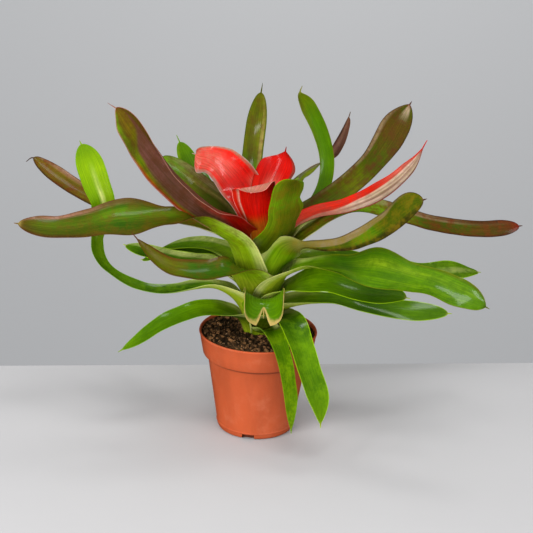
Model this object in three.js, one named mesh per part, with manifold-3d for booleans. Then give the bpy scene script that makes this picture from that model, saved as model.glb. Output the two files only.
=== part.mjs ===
// A potted bromeliad: a thin plastic nursery pot, its soil, the short stem, and a rosette of strap leaves
// whose broad sheaths wrap the stem, round a heart of red leaves.
// Millimetres, +Z up. The origin is the middle of the pot's underside, and -Y is the side that is looked at.
import * as THREE from "three";
import { mergeVertices } from "three/addons/utils/BufferGeometryUtils.js";
import Module from "manifold-3d";

const wasm = await Module();
wasm.setup();

// ---------------------------------------------------------------- driving dimensions

const POT = {
  height: 105.5,
  rimRadius: 60,
  lip: 1.4, // rounding of the rim
  collarHeight: 24,
  collarFootRadius: 55.8,
  collarRounding: 1.2,
  shoulderRadius: 51, // where the body meets the collar
  footRadius: 39,
  footRounding: 2.5,
  wall: 1.3,
  floor: 2.4,
  sides: 48,
};
const RING = { level: 6.5, height: 1.6, depth: 0.35 }; // the fine moulding near the foot
const DRAIN = { count: 4, width: 12, height: 3, depth: 9, firstAngle: 260 };
const SOIL = { rimLevel: 99.5, mound: 4, roughness: 0.55, rings: 7, sides: 30, gap: 0.3, slack: 0.6 };
// the waves that make the soil's lumps: how many around, how fast they turn outwards, and where they start
const LUMPS = [
  [3, 0.31, 0],
  [7, -0.53, 1.7],
  [11, 0.9, 0.4],
];
const STEM = { foot: 70, top: 214, footRadius: 12, topRadius: 5.5, rounding: 3, sides: 20 };

const GAP = 0.32; // between a leaf and whatever it rests on
const THICK = 0.9; // a leaf's thickness
// where a leaf wraps the stem: it starts its own clearance off the stem, and flares as it rises
const SHEATH = { length: 60, cup: 88, rise: 24, flare: 9.5, clearance: 0.8 };
const TIP = { length: 36, spike: 4, width: 1.5 };
const TIP_STEPS = [0, 0.42, 0.75, 0.94, 1]; // shares of the tip's length that its facets begin and end at
const RUFFLE_LAG = 2; // radians by which the right margin's waves trail the left one's
const STRIPS = 4; // facets across a leaf
const STATION = 20; // length of a facet along a leaf, about

// ---------------------------------------------------------------- the leaves

// seat: height on the stem. path: [right, back, up] of the middle line, from where the blade leaves the
// column of sheaths to the tip. The other lists are spread evenly from the stem to the tip.
// width: of the sheath, then of the blade. roll: degrees about the middle line; positive lifts the left
// margin, seen from the stem. cup: degrees each side that the blade is channelled.
// fold: 1 for an even curve across, less for a crease at the midrib. ruffle: [height, waves] of the margins.
// tip: length over which the blade rounds off, and spike: of the hard point that ends it.
// The list runs from the heart outwards, and a leaf gives way to those before it.
const LEAVES = [
  { name: "heart_leaf_left", kind: "red", seat: 183, width: [24, 32, 40, 40, 36], tip: 22,
    path: [[-10, 10, 222], [-24, 20, 252], [-45, 30, 268], [-69, 36, 278]],
    roll: [0, -20, -30, -30], cup: [40, 30, 20, 10] },
  { name: "heart_leaf_right", kind: "red", seat: 180, width: [22, 28, 36, 34], tip: 20, spike: 9,
    path: [[4, 9, 228], [8, 18, 250], [14, 26, 264], [20, 33, 277], [22, 37, 288]],
    roll: [0, 0, 0, 0], cup: [50, 45, 30] },
  { name: "heart_leaf_front", kind: "red", seat: 178, width: [26, 24, 32, 42, 46], tip: 12, spike: 1,
    path: [[-2, -15, 215], [-6, -20, 238], [-8, -23, 252], [-9, -28, 264], [-10, -35, 267],
      [-11, -39, 262]],
    roll: [0, 0, 0], cup: [50, 45, 30] },
  { name: "leaf_up_left", kind: "bronze", seat: 174, width: [32, 36, 34, 35, 35, 31, 24], spike: 9,
    path: [[-28, -21, 226], [-52, -30, 245], [-67, -34, 260], [-84, -38, 278], [-102, -41, 300],
      [-118, -42, 320], [-133, -42, 338], [-147, -42, 347]],
    roll: [-10, -60, -110, -140, -150, -150, -140, -110, -90], cup: [60, 66, 70, 70, 55, 25], fold: 0.5 },
  { name: "leaf_right_red", kind: "red", seat: 172, width: [32, 30, 20, 24, 24, 20], spike: 9,
    path: [[32, -9, 222], [52, -12, 235], [82, -14, 244], [107, -15, 256], [128, -16, 272],
      [145, -16, 292], [156, -16, 314]],
    roll: [0, -20, -50, -60, -65, -60, -40], cup: [50, 30, 20, 20] },
  { name: "leaf_heart_green", kind: "green", seat: 168, width: [34, 40, 44, 44, 40, 32], ruffle: [3, 2],
    path: [[17, -22, 210], [22, -29, 228], [25, -34, 244], [26, -38, 257], [27, -42, 269],
      [31, -46, 283]],
    roll: [0, 0, 0, 0], cup: [60, 40, 24, 20] },
  { name: "leaf_back_top", kind: "green", seat: 166, width: [32, 28, 22, 22, 20], spike: 10,
    path: [[-8, 30, 226], [-13, 48, 251], [-12, 72, 270], [-9, 96, 297], [-4, 112, 334]],
    roll: [0, 0, 0], cup: [50, 30, 25] },
  { name: "leaf_mid_left_back", kind: "bronze", seat: 164, width: [32, 30, 25, 25, 24],
    path: [[-27, 18, 219], [-40, 26, 230], [-58, 34, 240], [-74, 40, 250], [-90, 47, 260],
      [-106, 52, 271]],
    roll: [0, -30, -40, -40], cup: [50, 30, 20] },
  { name: "leaf_back_small", kind: "green", seat: 162, width: [30, 28, 24, 24, 24], spike: 8,
    path: [[-26, 24, 212], [-46, 42, 226], [-64, 62, 238], [-78, 80, 254], [-92, 92, 277]],
    roll: [0, 0, 0], cup: [50, 30, 20] },
  { name: "leaf_back_right_green", kind: "green", seat: 160,
    width: [32, 28, 22, 21, 21, 22, 22], tip: 18, spike: 7,
    path: [[26, 22, 206], [44, 38, 220], [58, 58, 240], [60, 76, 266], [54, 92, 292], [40, 103, 314],
      [33, 108, 325], [37, 110, 332]],
    roll: [0, 0, 0, 0], cup: [50, 30, 20] },
  { name: "leaf_right_up", kind: "bronze", seat: 158, width: [32, 32, 24, 24, 25, 28, 29], tip: 26,
    path: [[32, 15, 215], [60, 26, 233], [84, 34, 250], [107, 42, 271], [123, 51, 293], [134, 60, 313],
      [147, 68, 331]],
    roll: [0, 20, 50, 60, 60, 60], cup: [50, 30, 15] },
  { name: "leaf_back_right_thin", kind: "bronze", seat: 154, width: [30, 24, 16, 16, 15], spike: 6,
    path: [[17, 34, 208], [28, 50, 236], [42, 70, 252], [56, 90, 255], [69, 106, 261], [77, 114, 273],
      [84, 120, 288], [89, 126, 303]],
    roll: [0, 0, 60, 120, 150, 150], cup: [50, 30, 20] },
  { name: "leaf_right_far", kind: "bronze", seat: 150, width: [34, 32, 22, 19, 18, 20, 20, 19], tip: 24,
    path: [[32, 3, 196], [54, 11, 213], [76, 19, 226], [95, 25, 230], [115, 31, 228], [140, 38, 220],
      [166, 44, 211], [195, 52, 204], [232, 60, 200], [270, 68, 203]],
    roll: [0, 10, 20, 5, 10, 40, 50, 50, 50], cup: [50, 30, 15] },
  { name: "leaf_left_brown", kind: "bronze", seat: 152, width: [34, 30, 22, 21, 21, 22, 21], spike: 10,
    path: [[-33, 7, 200], [-56, 14, 208], [-78, 22, 210], [-104, 32, 210], [-131, 42, 211],
      [-158, 50, 215], [-192, 62, 229], [-212, 68, 240], [-228, 74, 250], [-238, 77, 256],
      [-245, 79, 251]],
    roll: [0, -10, -10, -25, -30, -30], cup: [50, 30, 20] },
  { name: "leaf_right_twisted", kind: "bronze", seat: 144, width: [36, 36, 32, 32, 30, 26, 26], tip: 24,
    path: [[28, -29, 204], [45, -42, 217], [61, -50, 220], [80, -57, 225], [98, -66, 234],
      [116, -76, 250], [134, -87, 271], [151, -97, 281]],
    roll: [0, -30, -80, -100, -120, -170, -220, -240], cup: [50, 66, 70, 60, 40, 20], fold: 0.7 },
  { name: "leaf_left_long", kind: "bronze", seat: 140, width: [36, 40, 28, 20, 33, 38, 31, 24, 21], tip: 22,
    path: [[-26, -24, 202], [-40, -30, 215], [-56, -36, 226], [-70, -42, 234], [-93, -48, 237],
      [-120, -54, 239], [-145, -59, 237], [-169, -62, 232], [-200, -67, 230], [-233, -70, 235]],
    roll: [0, 0, 0, 5, -50, -62, -60, -55, -50], cup: [45, 30, 20] },
  { name: "leaf_back_left_high", kind: "green", seat: 138, width: [34, 34, 26, 26, 22],
    path: [[-26, 22, 174], [-38, 34, 177], [-56, 56, 174], [-80, 84, 164], [-109, 115, 148]],
    roll: [0, -10, -20, -20], cup: [50, 30, 15] },
  { name: "leaf_right_mid_back", kind: "green", seat: 134, width: [34, 34, 24, 23, 23, 24, 24], tip: 26,
    path: [[32, 15, 170], [60, 28, 176], [92, 44, 170], [130, 62, 156], [165, 75, 147], [190, 83, 144],
      [212, 91, 143], [236, 100, 138]],
    roll: [0, 0, 0, 20, 30, 20], cup: [50, 30, 10], ruffle: [2, 5] },
  { name: "leaf_front_left", kind: "bronze", seat: 130, width: [38, 44, 30, 20, 19, 18, 17, 15], spike: 8,
    path: [[-12, -36, 172], [-18, -54, 187], [-30, -64, 191], [-48, -69, 191], [-69, -73, 194],
      [-85, -76, 198], [-98, -78, 207], [-110, -80, 220], [-121, -80, 233]],
    roll: [0, 0, -10, -25, -30, -30, -30], cup: [50, 30, 15] },
  { name: "leaf_right_big", kind: "green", seat: 124, width: [38, 46, 30, 30, 42, 37, 36, 33], tip: 30,
    path: [[22, -22, 168], [34, -28, 180], [50, -34, 188], [70, -41, 192], [90, -48, 192],
      [113, -58, 194], [142, -70, 192], [166, -81, 191], [183, -90, 187], [199, -97, 184],
      [216, -103, 177]],
    roll: [0, 10, 20, 40, 55, 50, 45, 40], cup: [50, 30, 10], ruffle: [3, 2.5] },
  { name: "leaf_back_left_mid", kind: "green", seat: 126, width: [34, 32, 24, 23, 20],
    path: [[-32, 14, 161], [-54, 30, 165], [-84, 52, 159], [-108, 70, 157], [-147, 98, 157]],
    roll: [0, -10, -20, -20], cup: [50, 30, 10] },
  { name: "leaf_back_low", kind: "green", seat: 122, width: [34, 40, 32, 30, 28],
    path: [[2, 33, 170], [4, 62, 184], [6, 110, 178], [2, 160, 150]],
    roll: [0, 0, 0], cup: [50, 30, 15] },
  { name: "leaf_back_left_low", kind: "green", seat: 118, width: [34, 34, 24, 22, 20],
    path: [[-20, 25, 162], [-40, 46, 168], [-64, 68, 162], [-98, 100, 147], [-131, 128, 129]],
    roll: [0, 0, -10, -20], cup: [50, 30, 15] },
  { name: "leaf_right_lower", kind: "green", seat: 110, width: [38, 44, 32, 34, 33, 30],
    path: [[24, -19, 152], [42, -27, 166], [66, -35, 173], [100, -46, 169], [146, -60, 168]],
    roll: [0, 10, 40, 40, 30], cup: [50, 30, 15] },
  { name: "leaf_left_bent", kind: "green", seat: 108,
    width: [38, 44, 30, 24, 22, 22, 22, 24, 27, 27], tip: 20,
    path: [[-29, -18, 148], [-46, -25, 159], [-64, -28, 159], [-87, -31, 156], [-105, -33, 157],
      [-121, -34, 162], [-138, -36, 172], [-151, -37, 185], [-158, -38, 206], [-155, -37, 227],
      [-153, -36, 247], [-159, -34, 264], [-167, -30, 286], [-176, -25, 305]],
    roll: [0, 0, 0, 0, 10, 10, -20, -80, -85, -85], cup: [50, 30, 10] },
  { name: "leaf_right_lowest", kind: "green", seat: 102, width: [36, 34, 22, 21, 22, 21],
    path: [[28, -11, 134], [50, -15, 143], [76, -18, 146], [100, -21, 145], [122, -23, 142],
      [155, -26, 141], [191, -31, 142]],
    roll: [0, 0, 10, 40, 50, 40], cup: [50, 30, 10] },
  { name: "leaf_front_stub", kind: "green", seat: 99, width: [38, 46, 42], tip: 12, spike: 6,
    path: [[2, -33, 131], [3, -39, 144], [3, -46, 148], [3, -52, 145], [3, -55, 138]],
    roll: [0, 0, 0], cup: [80, 70, 50] },
  { name: "leaf_low_left", kind: "green", seat: 95, width: [36, 32, 22, 21, 20, 18],
    path: [[-27, -20, 128], [-43, -30, 137], [-58, -36, 139], [-75, -41, 135], [-92, -45, 128],
      [-113, -50, 114], [-137, -52, 98]],
    roll: [0, 0, -25, -30, -20, -20], cup: [50, 30, 15] },
  { name: "leaf_front_right", kind: "green", seat: 94, width: [36, 38, 30, 28, 28, 26],
    path: [[20, -38, 133], [30, -54, 138], [39, -67, 124], [49, -80, 100], [61, -91, 70], [64, -98, 45]],
    roll: [0, 0, 0], cup: [50, 30, 15] },
  { name: "leaf_front_narrow", kind: "green", seat: 89, width: [32, 28, 16, 15, 14],
    path: [[7, -34, 116], [14, -50, 124], [22, -64, 113], [29, -73, 92], [34, -80, 63], [36, -84, 31]],
    roll: [0, 0, 0], cup: [50, 30, 20] },
];

// ---------------------------------------------------------------- small helpers

const radians = THREE.MathUtils.degToRad;
const mix = THREE.MathUtils.lerp;
const smooth = (x) => THREE.MathUtils.smoothstep(x, 0, 1);

// The value at t, 0 to 1, of a list spread evenly over that range.
function spread(list, t) {
  const at = Math.min(Math.max(t, 0), 1) * (list.length - 1);
  const i = Math.min(Math.floor(at), list.length - 2);
  return mix(list[i], list[i + 1], smooth(at - i));
}

function solidOf(geometry) {
  const bare = geometry.clone();
  for (const name of Object.keys(bare.attributes)) if (name !== "position") bare.deleteAttribute(name);
  const merged = mergeVertices(bare, 1e-4);
  return new wasm.Manifold(
    new wasm.Mesh({
      numProp: 3,
      vertProperties: new Float32Array(merged.attributes.position.array),
      triVerts: new Uint32Array(merged.index.array),
    }),
  );
}

function geometryOf(solid) {
  const mesh = solid.getMesh();
  const geometry = new THREE.BufferGeometry();
  geometry.setAttribute("position", new THREE.BufferAttribute(new Float32Array(mesh.vertProperties), 3));
  geometry.setIndex(new THREE.BufferAttribute(new Uint32Array(mesh.triVerts), 1));
  geometry.computeVertexNormals();
  return geometry;
}

// The largest piece of a solid, without the scraps that a cut leaves.
function largest(solid) {
  const pieces = solid.decompose();
  return pieces.reduce((best, piece) => (piece.volume() > best.volume() ? piece : best));
}

// A closed turned solid about +Z, from [radius, height] points that run upwards on the outside.
function turned(outline, sides) {
  const points = outline.map(([r, z]) => new THREE.Vector2(r, z));
  return new THREE.LatheGeometry(points, sides).rotateX(Math.PI / 2);
}

// ---------------------------------------------------------------- the pot and what is in it

const shoulder = POT.height - POT.collarHeight;
const bodyRadius = (z) => mix(POT.footRadius, POT.shoulderRadius, z / shoulder);

function potSolid() {
  const { height, rimRadius, lip, collarFootRadius, collarRounding, footRounding, wall, floor } = POT;
  const ringFoot = RING.level - RING.height / 2;
  const ringTop = RING.level + RING.height / 2;
  const outline = [
    [0, 0],
    [bodyRadius(0) - footRounding, 0],
    [bodyRadius(0) - footRounding / 4, footRounding / 4],
    [bodyRadius(footRounding), footRounding],
    [bodyRadius(ringFoot), ringFoot],
    [bodyRadius(RING.level) + RING.depth, RING.level],
    [bodyRadius(ringTop), ringTop],
    [POT.shoulderRadius, shoulder - collarRounding],
    [collarFootRadius - collarRounding / 2, shoulder],
    [collarFootRadius, shoulder + collarRounding],
    [rimRadius - lip / 2, height - 2 * lip],
    [rimRadius, height - lip],
    [rimRadius - lip / 3, height],
    [rimRadius - wall - lip / 3, height],
    [collarFootRadius - wall, shoulder + wall + collarRounding / 2],
    [POT.shoulderRadius - wall, shoulder - collarRounding / 2],
    [bodyRadius(floor) - wall, floor],
    [0, floor],
  ];
  let solid = solidOf(turned(outline, POT.sides));
  for (let i = 0; i < DRAIN.count; i++) {
    const angle = radians(DRAIN.firstAngle + (360 / DRAIN.count) * i);
    const notch = new THREE.BoxGeometry(DRAIN.depth, DRAIN.width, DRAIN.height * 2)
      .translate(POT.footRadius, 0, 0)
      .rotateZ(angle);
    solid = solid.subtract(solidOf(notch));
  }
  return solid;
}

// Height of the soil: a low mound at the stem, with lumps.
function soilHeight(r, angle) {
  const share = r / POT.rimRadius;
  const lumps = LUMPS.map(([around, outwards, start]) => Math.sin(around * angle + outwards * r + start));
  return SOIL.rimLevel + SOIL.mound * (1 - share * share) + SOIL.roughness * (lumps[0] + lumps[1] + lumps[2]);
}

// The soil, raised by extra, which cuts the room that it needs. Rings of points run from the middle of the
// surface out to the wall and down to the pot's floor.
function soilSolid(extra = 0) {
  const { rings, sides, gap, slack } = SOIL;
  const inside = POT.wall + gap + slack;
  const up = (SOIL.rimLevel - shoulder) / POT.collarHeight;
  const edge = mix(POT.collarFootRadius, POT.rimRadius, up) - inside;
  const surface = Array.from({ length: rings }, (_, i) => [(edge * (i + 1)) / rings, null]);
  const under = [
    [POT.collarFootRadius - inside, shoulder + 2 * POT.wall],
    [POT.shoulderRadius - inside, shoulder - POT.collarRounding],
    [POT.footRadius - inside, POT.floor + gap],
  ];
  const rows = [...surface, ...under];
  const points = [0, 0, soilHeight(0, 0) + extra];
  for (const [r, z] of rows)
    for (let k = 0; k < sides; k++) {
      const angle = (2 * Math.PI * k) / sides;
      points.push(r * Math.cos(angle), r * Math.sin(angle), z ?? soilHeight(r, angle) + extra);
    }
  points.push(0, 0, POT.floor + gap);
  const foot = 1 + (rows.length - 1) * sides;
  const last = foot + sides;
  const faces = [];
  for (let k = 0; k < sides; k++) {
    const next = (k + 1) % sides;
    faces.push(0, 1 + k, 1 + next);
    for (let row = 0; row < rows.length - 1; row++) {
      const a = 1 + row * sides + k;
      const b = 1 + row * sides + next;
      faces.push(a, a + sides, b, b, a + sides, b + sides);
    }
    faces.push(foot + k, last, foot + next);
  }
  const geometry = new THREE.BufferGeometry();
  geometry.setAttribute("position", new THREE.Float32BufferAttribute(points, 3));
  geometry.setIndex(faces);
  return solidOf(geometry);
}

const stemRadius = (z) => mix(STEM.footRadius, STEM.topRadius, (z - STEM.foot) / (STEM.top - STEM.foot));

// The stem, thickened by extra all over, which cuts the room that it needs.
function stemSolid(extra = 0) {
  const outline = [
    [0, STEM.foot - extra],
    [STEM.footRadius + extra, STEM.foot - extra],
    [STEM.topRadius + extra, STEM.top - STEM.rounding],
    [STEM.topRadius - STEM.rounding + extra, STEM.top + extra],
    [0, STEM.top + extra],
  ];
  return solidOf(turned(outline, STEM.sides));
}

// ---------------------------------------------------------------- a leaf

// The middle line: from the stem at the leaf's seat, up along the stem, then through its path.
function leafCurve(leaf) {
  const azimuth = Math.atan2(leaf.path[0][1], leaf.path[0][0]);
  const out = (r, z) => new THREE.Vector3(r * Math.cos(azimuth), r * Math.sin(azimuth), z);
  const root = stemRadius(leaf.seat) + GAP + SHEATH.clearance;
  const start = [out(root, leaf.seat), out(root + SHEATH.flare, leaf.seat + SHEATH.rise)];
  const points = [...start, ...leaf.path.map((p) => new THREE.Vector3(...p))];
  return new THREE.CatmullRomCurve3(points, false, "centripetal");
}

// How far along the leaf its sections lie, closer together where the tip rounds off.
function leafSteps({ tip = TIP.length, spike = TIP.spike }, length) {
  const body = length - tip - spike;
  const count = Math.round(body / STATION);
  const steps = Array.from({ length: count }, (_, i) => (body * i) / count);
  return [...steps, ...TIP_STEPS.map((share) => body + tip * share), length];
}

// Width at the distance s along the leaf: as its list gives it, then rounded off to the spike.
function leafWidth({ width, tip = TIP.length, spike = TIP.spike }, s, length) {
  const left = THREE.MathUtils.clamp((length - spike - s) / tip, 0, 1);
  return Math.max(spread(width, s / length) * Math.sqrt(1 - (1 - left) ** 2), TIP.width);
}

// A frame at each step: side points to the left margin, and face out of the upper surface.
function leafStations(leaf) {
  const curve = leafCurve(leaf);
  const length = curve.getLength();
  let side = new THREE.Vector3(-leaf.path[0][1], leaf.path[0][0], 0);
  return leafSteps(leaf, length).map((s) => {
    const t = s / length;
    const along = curve.getTangentAt(t);
    side = side.clone().addScaledVector(along, -side.dot(along)).normalize();
    const face = along.clone().cross(side);
    const roll = radians(spread(leaf.roll, t));
    return {
      t,
      s,
      width: leafWidth(leaf, s, length),
      at: curve.getPointAt(t),
      side: side.clone().multiplyScalar(Math.cos(roll)).addScaledVector(face, Math.sin(roll)),
      face: face.clone().multiplyScalar(Math.cos(roll)).addScaledVector(side, -Math.sin(roll)),
    };
  });
}

// Points of the section at a station, across the upper surface and across the lower one. The slope grows from
// the midrib to the margins, and each point lies half the thickness to one side or the other of the middle.
function leafSection(leaf, station, thickness, extra) {
  const width = station.width + 2 * extra;
  const cup = mix(SHEATH.cup, spread(leaf.cup, station.t), smooth(station.s / SHEATH.length));
  const half = STRIPS / 2;
  const slope = (j) => radians(cup) * ((j - 0.5) / half) ** (leaf.fold ?? 1);
  const [height, waves] = leaf.ruffle ?? [0, 0];
  const ease = smooth((station.s - SHEATH.length / 2) / SHEATH.length);
  const upper = [];
  const lower = [];
  for (let j = -half; j <= half; j++) {
    let x = 0;
    let y = 0;
    for (let k = 1; k <= Math.abs(j); k++) {
      x += (width / STRIPS) * Math.cos(slope(k)) * Math.sign(j);
      y += (width / STRIPS) * Math.sin(slope(k));
    }
    const share = j / half;
    const lag = j > 0 ? 0 : RUFFLE_LAG;
    y += height * ease * share * share * Math.sin(2 * Math.PI * waves * station.t + lag);
    const meeting = [slope(Math.abs(j)), slope(Math.min(Math.abs(j) + 1, half))];
    const turn = j === 0 ? 0 : (Math.sign(j) * (meeting[0] + meeting[1])) / 2;
    const { at, side, face } = station;
    const middle = at.clone().addScaledVector(side, x).addScaledVector(face, y);
    const normal = face.clone().multiplyScalar(Math.cos(turn)).addScaledVector(side, -Math.sin(turn));
    upper.push(middle.clone().addScaledVector(normal, thickness / 2));
    lower.push(middle.clone().addScaledVector(normal, -thickness / 2));
  }
  return { upper, lower };
}

// A leaf, thickened and widened by extra, which cuts the room that it needs.
function leafSolid(leaf, extra = 0) {
  const stations = leafStations(leaf);
  const count = stations.length - 1;
  const points = [];
  const ring = 2 * (STRIPS + 1);
  for (const station of stations) {
    const { upper, lower } = leafSection(leaf, station, THICK + 2 * extra, extra);
    for (const p of [...upper, ...lower.reverse()]) points.push(p.x, p.y, p.z);
  }
  const faces = [];
  for (let i = 0; i < count; i++)
    for (let j = 0; j < ring; j++) {
      const a = i * ring + j;
      const b = i * ring + ((j + 1) % ring);
      // the same diagonal on both faces, so that the thin blade never crosses itself
      if (j < STRIPS) faces.push(a, a + ring, b, b, a + ring, b + ring);
      else faces.push(a, b + ring, b, a, a + ring, b + ring);
    }
  for (const [station, flip] of [[0, false], [count, true]])
    for (let j = 0; j < STRIPS; j++) {
      const a = station * ring + j;
      const b = a + 1;
      const d = station * ring + ring - 1 - j;
      const c = d - 1;
      if (flip) faces.push(a, c, b, a, d, c);
      else faces.push(a, b, c, a, c, d);
    }
  const geometry = new THREE.BufferGeometry();
  geometry.setAttribute("position", new THREE.Float32BufferAttribute(points, 3));
  geometry.setIndex(faces);
  return solidOf(geometry);
}

// ---------------------------------------------------------------- the object

const MATERIALS = {
  pot: { color: 0xc4583a, roughness: 0.45 },
  soil: { color: 0x3a2a1c, roughness: 1.0 },
  stem: { color: 0xa9b64a, roughness: 0.6 },
  green: { color: 0x4f8f14, roughness: 0.35 },
  bronze: { color: 0x5c5a1a, roughness: 0.35 },
  red: { color: 0xc8201a, roughness: 0.3 },
};

const plant = new THREE.Group();

function addPiece(name, solid, kind) {
  const material = new THREE.MeshStandardMaterial({ ...MATERIALS[kind], metalness: 0 });
  const mesh = new THREE.Mesh(geometryOf(solid), material);
  mesh.name = name;
  plant.add(mesh);
}

addPiece("pot", potSolid(), "pot");
addPiece("soil", soilSolid().subtract(stemSolid(GAP)), "soil");
addPiece("stem", stemSolid(), "stem");

const room = [stemSolid(GAP), soilSolid(GAP)]; // what a leaf gives way to, each a gap larger than it is
for (const leaf of LEAVES) {
  const solid = room.reduce((rest, other) => rest.subtract(other), leafSolid(leaf));
  addPiece(leaf.name, largest(solid), leaf.kind);
  room.push(leafSolid(leaf, GAP));
}

export default plant;
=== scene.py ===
"""A potted bromeliad: glossy strap leaves whose broad sheaths wrap the stem, a heart of red leaves, the peat
and the plastic pot.

Metres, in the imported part's frame: the origin is the middle of the pot's underside, +Z is up and -Y is the
side that is looked at. Sizes below are in millimetres and degrees unless they say otherwise.
"""
import bisect
import math
import random

import bpy
from mathutils import Matrix, Vector, noise


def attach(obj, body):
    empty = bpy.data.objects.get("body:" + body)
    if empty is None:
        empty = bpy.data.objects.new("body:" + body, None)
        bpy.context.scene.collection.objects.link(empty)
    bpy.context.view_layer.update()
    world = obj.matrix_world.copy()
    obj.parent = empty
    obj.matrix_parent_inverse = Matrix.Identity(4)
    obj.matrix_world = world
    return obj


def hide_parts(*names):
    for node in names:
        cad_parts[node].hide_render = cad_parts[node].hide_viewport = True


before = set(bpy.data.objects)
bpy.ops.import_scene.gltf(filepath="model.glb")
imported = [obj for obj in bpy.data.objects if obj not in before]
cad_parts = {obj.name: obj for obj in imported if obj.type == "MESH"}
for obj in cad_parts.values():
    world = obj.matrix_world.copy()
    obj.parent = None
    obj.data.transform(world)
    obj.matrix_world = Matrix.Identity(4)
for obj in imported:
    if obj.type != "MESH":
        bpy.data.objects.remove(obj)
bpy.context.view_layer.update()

MM = 0.001

# ---------------- the camera, which stands where the photo's did

VIEW_DISTANCE = 1.5  # metres, as the target
VIEW_TARGET = Vector((0.0063, 0.0, 0.1737))
VIEW_DOWN = 20.39
VIEW_ROLL = 1.91
LENS = 101.3

# ---------------- sizes

POT_HEIGHT = 105.5
POT_RIM = 60.0
POT_LIP = 1.4
COLLAR_HEIGHT = 24.0
COLLAR_FOOT = 55.8
COLLAR_ROUNDING = 1.2
POT_SHOULDER = 51.0
POT_FOOT = 39.0
FOOT_ROUNDING = 2.5
POT_WALL = 1.3
POT_FLOOR = 2.4
RING_LEVEL = 6.5
RING_HEIGHT = 1.6
RING_DEPTH = 0.7
DRAIN_COUNT = 4
DRAIN_WIDTH = 12.5
DRAIN_HEIGHT = 5.2
DRAIN_DEPTH = 9.0
DRAIN_ANGLE = 260.0  # of the first
MOULD_BEVEL = 0.35  # of the pot's edges
COLLAR_HOLLOW = 0.2  # how far the collar's wall bows in
POT_SIDES = 128

SOIL_LEVEL = 101.5
SOIL_SHARE = 0.85  # of the collar's height that the peat reaches
SOIL_MOUND = 4.0
SOIL_DEPTH = 14.0  # of the peat's shell
SOIL_TAPER = 0.95  # of that shell's foot to its edge
SOIL_RINGS = 40
SOIL_SIDES = 160
SOIL_CRUST = 1.5  # height of its rough crust
CRUST_PITCH = 0.3  # the crust's lumps to a millimetre
CRUST_OCTAVES = (0.8, 2.0, 5)  # fall, step and number
SOIL_ROUGHNESS = 0.55
SOIL_LUMPS = ((3, 0.31, 0.0), (7, -0.53, 1.7), (11, 0.9, 0.4))  # waves around, turn outwards, start

STEM_FOOT = 70.0
STEM_TOP = 214.0
STEM_FOOT_RADIUS = 12.0
STEM_TOP_RADIUS = 5.5

LEAF_GAP = 0.32
SHEATH_LENGTH = 60.0
SHEATH_CUP = 88.0
SHEATH_RISE = 24.0
SHEATH_FLARE = 9.5
SHEATH_CLEARANCE = 0.8
SHEATH_END = 0.12  # share of a leaf at which its sheath's side colour starts to fade
SHEATH_TONE = 0.28  # share over which it fades
SIDES_START = 0.55  # share of the half width at which that colour starts, and over which it comes in
SIDES_FADE = 0.35
SIDES_STRENGTH = 0.95
HEART_END = 0.06  # the same of the sheath's middle colour
HEART_TONE = 0.22
HEART_FADE = 0.8
HEART_STRENGTH = 0.6
DRYING = 1.4  # lengths of its drying tip, from the leaf's end, at which the tip's colour starts
SPIKE_WIDTH = 1.5
SPIKE_END = 0.15  # share of that width that is left at the end
RUFFLE_LAG = 2.0  # radians, of the right margin's ruffles
RUFFLE_FULL = 15.0  # width from which a blade ruffles in full
MARGIN_WANDER = 0.9  # height by which the margins stray
WANDER_PITCH = 0.05  # waves of that to a millimetre
LEAF_APART = 7.3  # these two set the wander of each leaf and of each margin apart
MARGIN_APART = 3.1
LOBE_LENGTH = 24.0
LOBE_CURVE = 5  # the higher, the closer the lobes keep to the margins
LEAF_THICKNESS = 0.8
MARGIN_THINNING = 0.45  # share of the thickness that is left at a leaf's margins
THINNING_CURVE = 4  # the higher, the closer the thinning keeps to them
SEED_STEP = 1.7  # sets each leaf's veins and wander apart from the next one's
ACROSS = 32  # strips across a leaf
ROW_LENGTH = 3.5  # of the mesh along a leaf
TIP_ROWS = 12
SPIKE_ROWS = 4

# ---------------- colours of the living plant

PALETTE = {
    "cream": "#dcdc88",
    "straw": "#b99a5c",
    "pale": "#b4c428",
    "lime": "#8cae08",
    "spring": "#688e04",
    "green": "#547c02",
    "deep": "#345801",
    "olive": "#606602",
    "khaki": "#6c5a08",
    "moss": "#445002",
    "bronze": "#54400a",
    "russet": "#5e2a0a",
    "brown": "#4e2a10",
    "umber": "#2e1c0a",
    "plum": "#684036",
    "mauve": "#9a6a5c",
    "taupe": "#94785c",
    "fawn": "#a58c62",
    "pearl": "#c8b2a6",
    "grey": "#9a8c80",
    "wine": "#7a1a0c",
    "crimson": "#b00c04",
    "red": "#d00e04",
    "scarlet": "#de2412",
    "coral": "#de4e3c",
    "rose": "#e8847a",
    "blush": "#efc4b8",
    "orange": "#c05a14",
    "amber": "#d07a10",
}

# ---------------- the leaves, from the heart outwards

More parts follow.
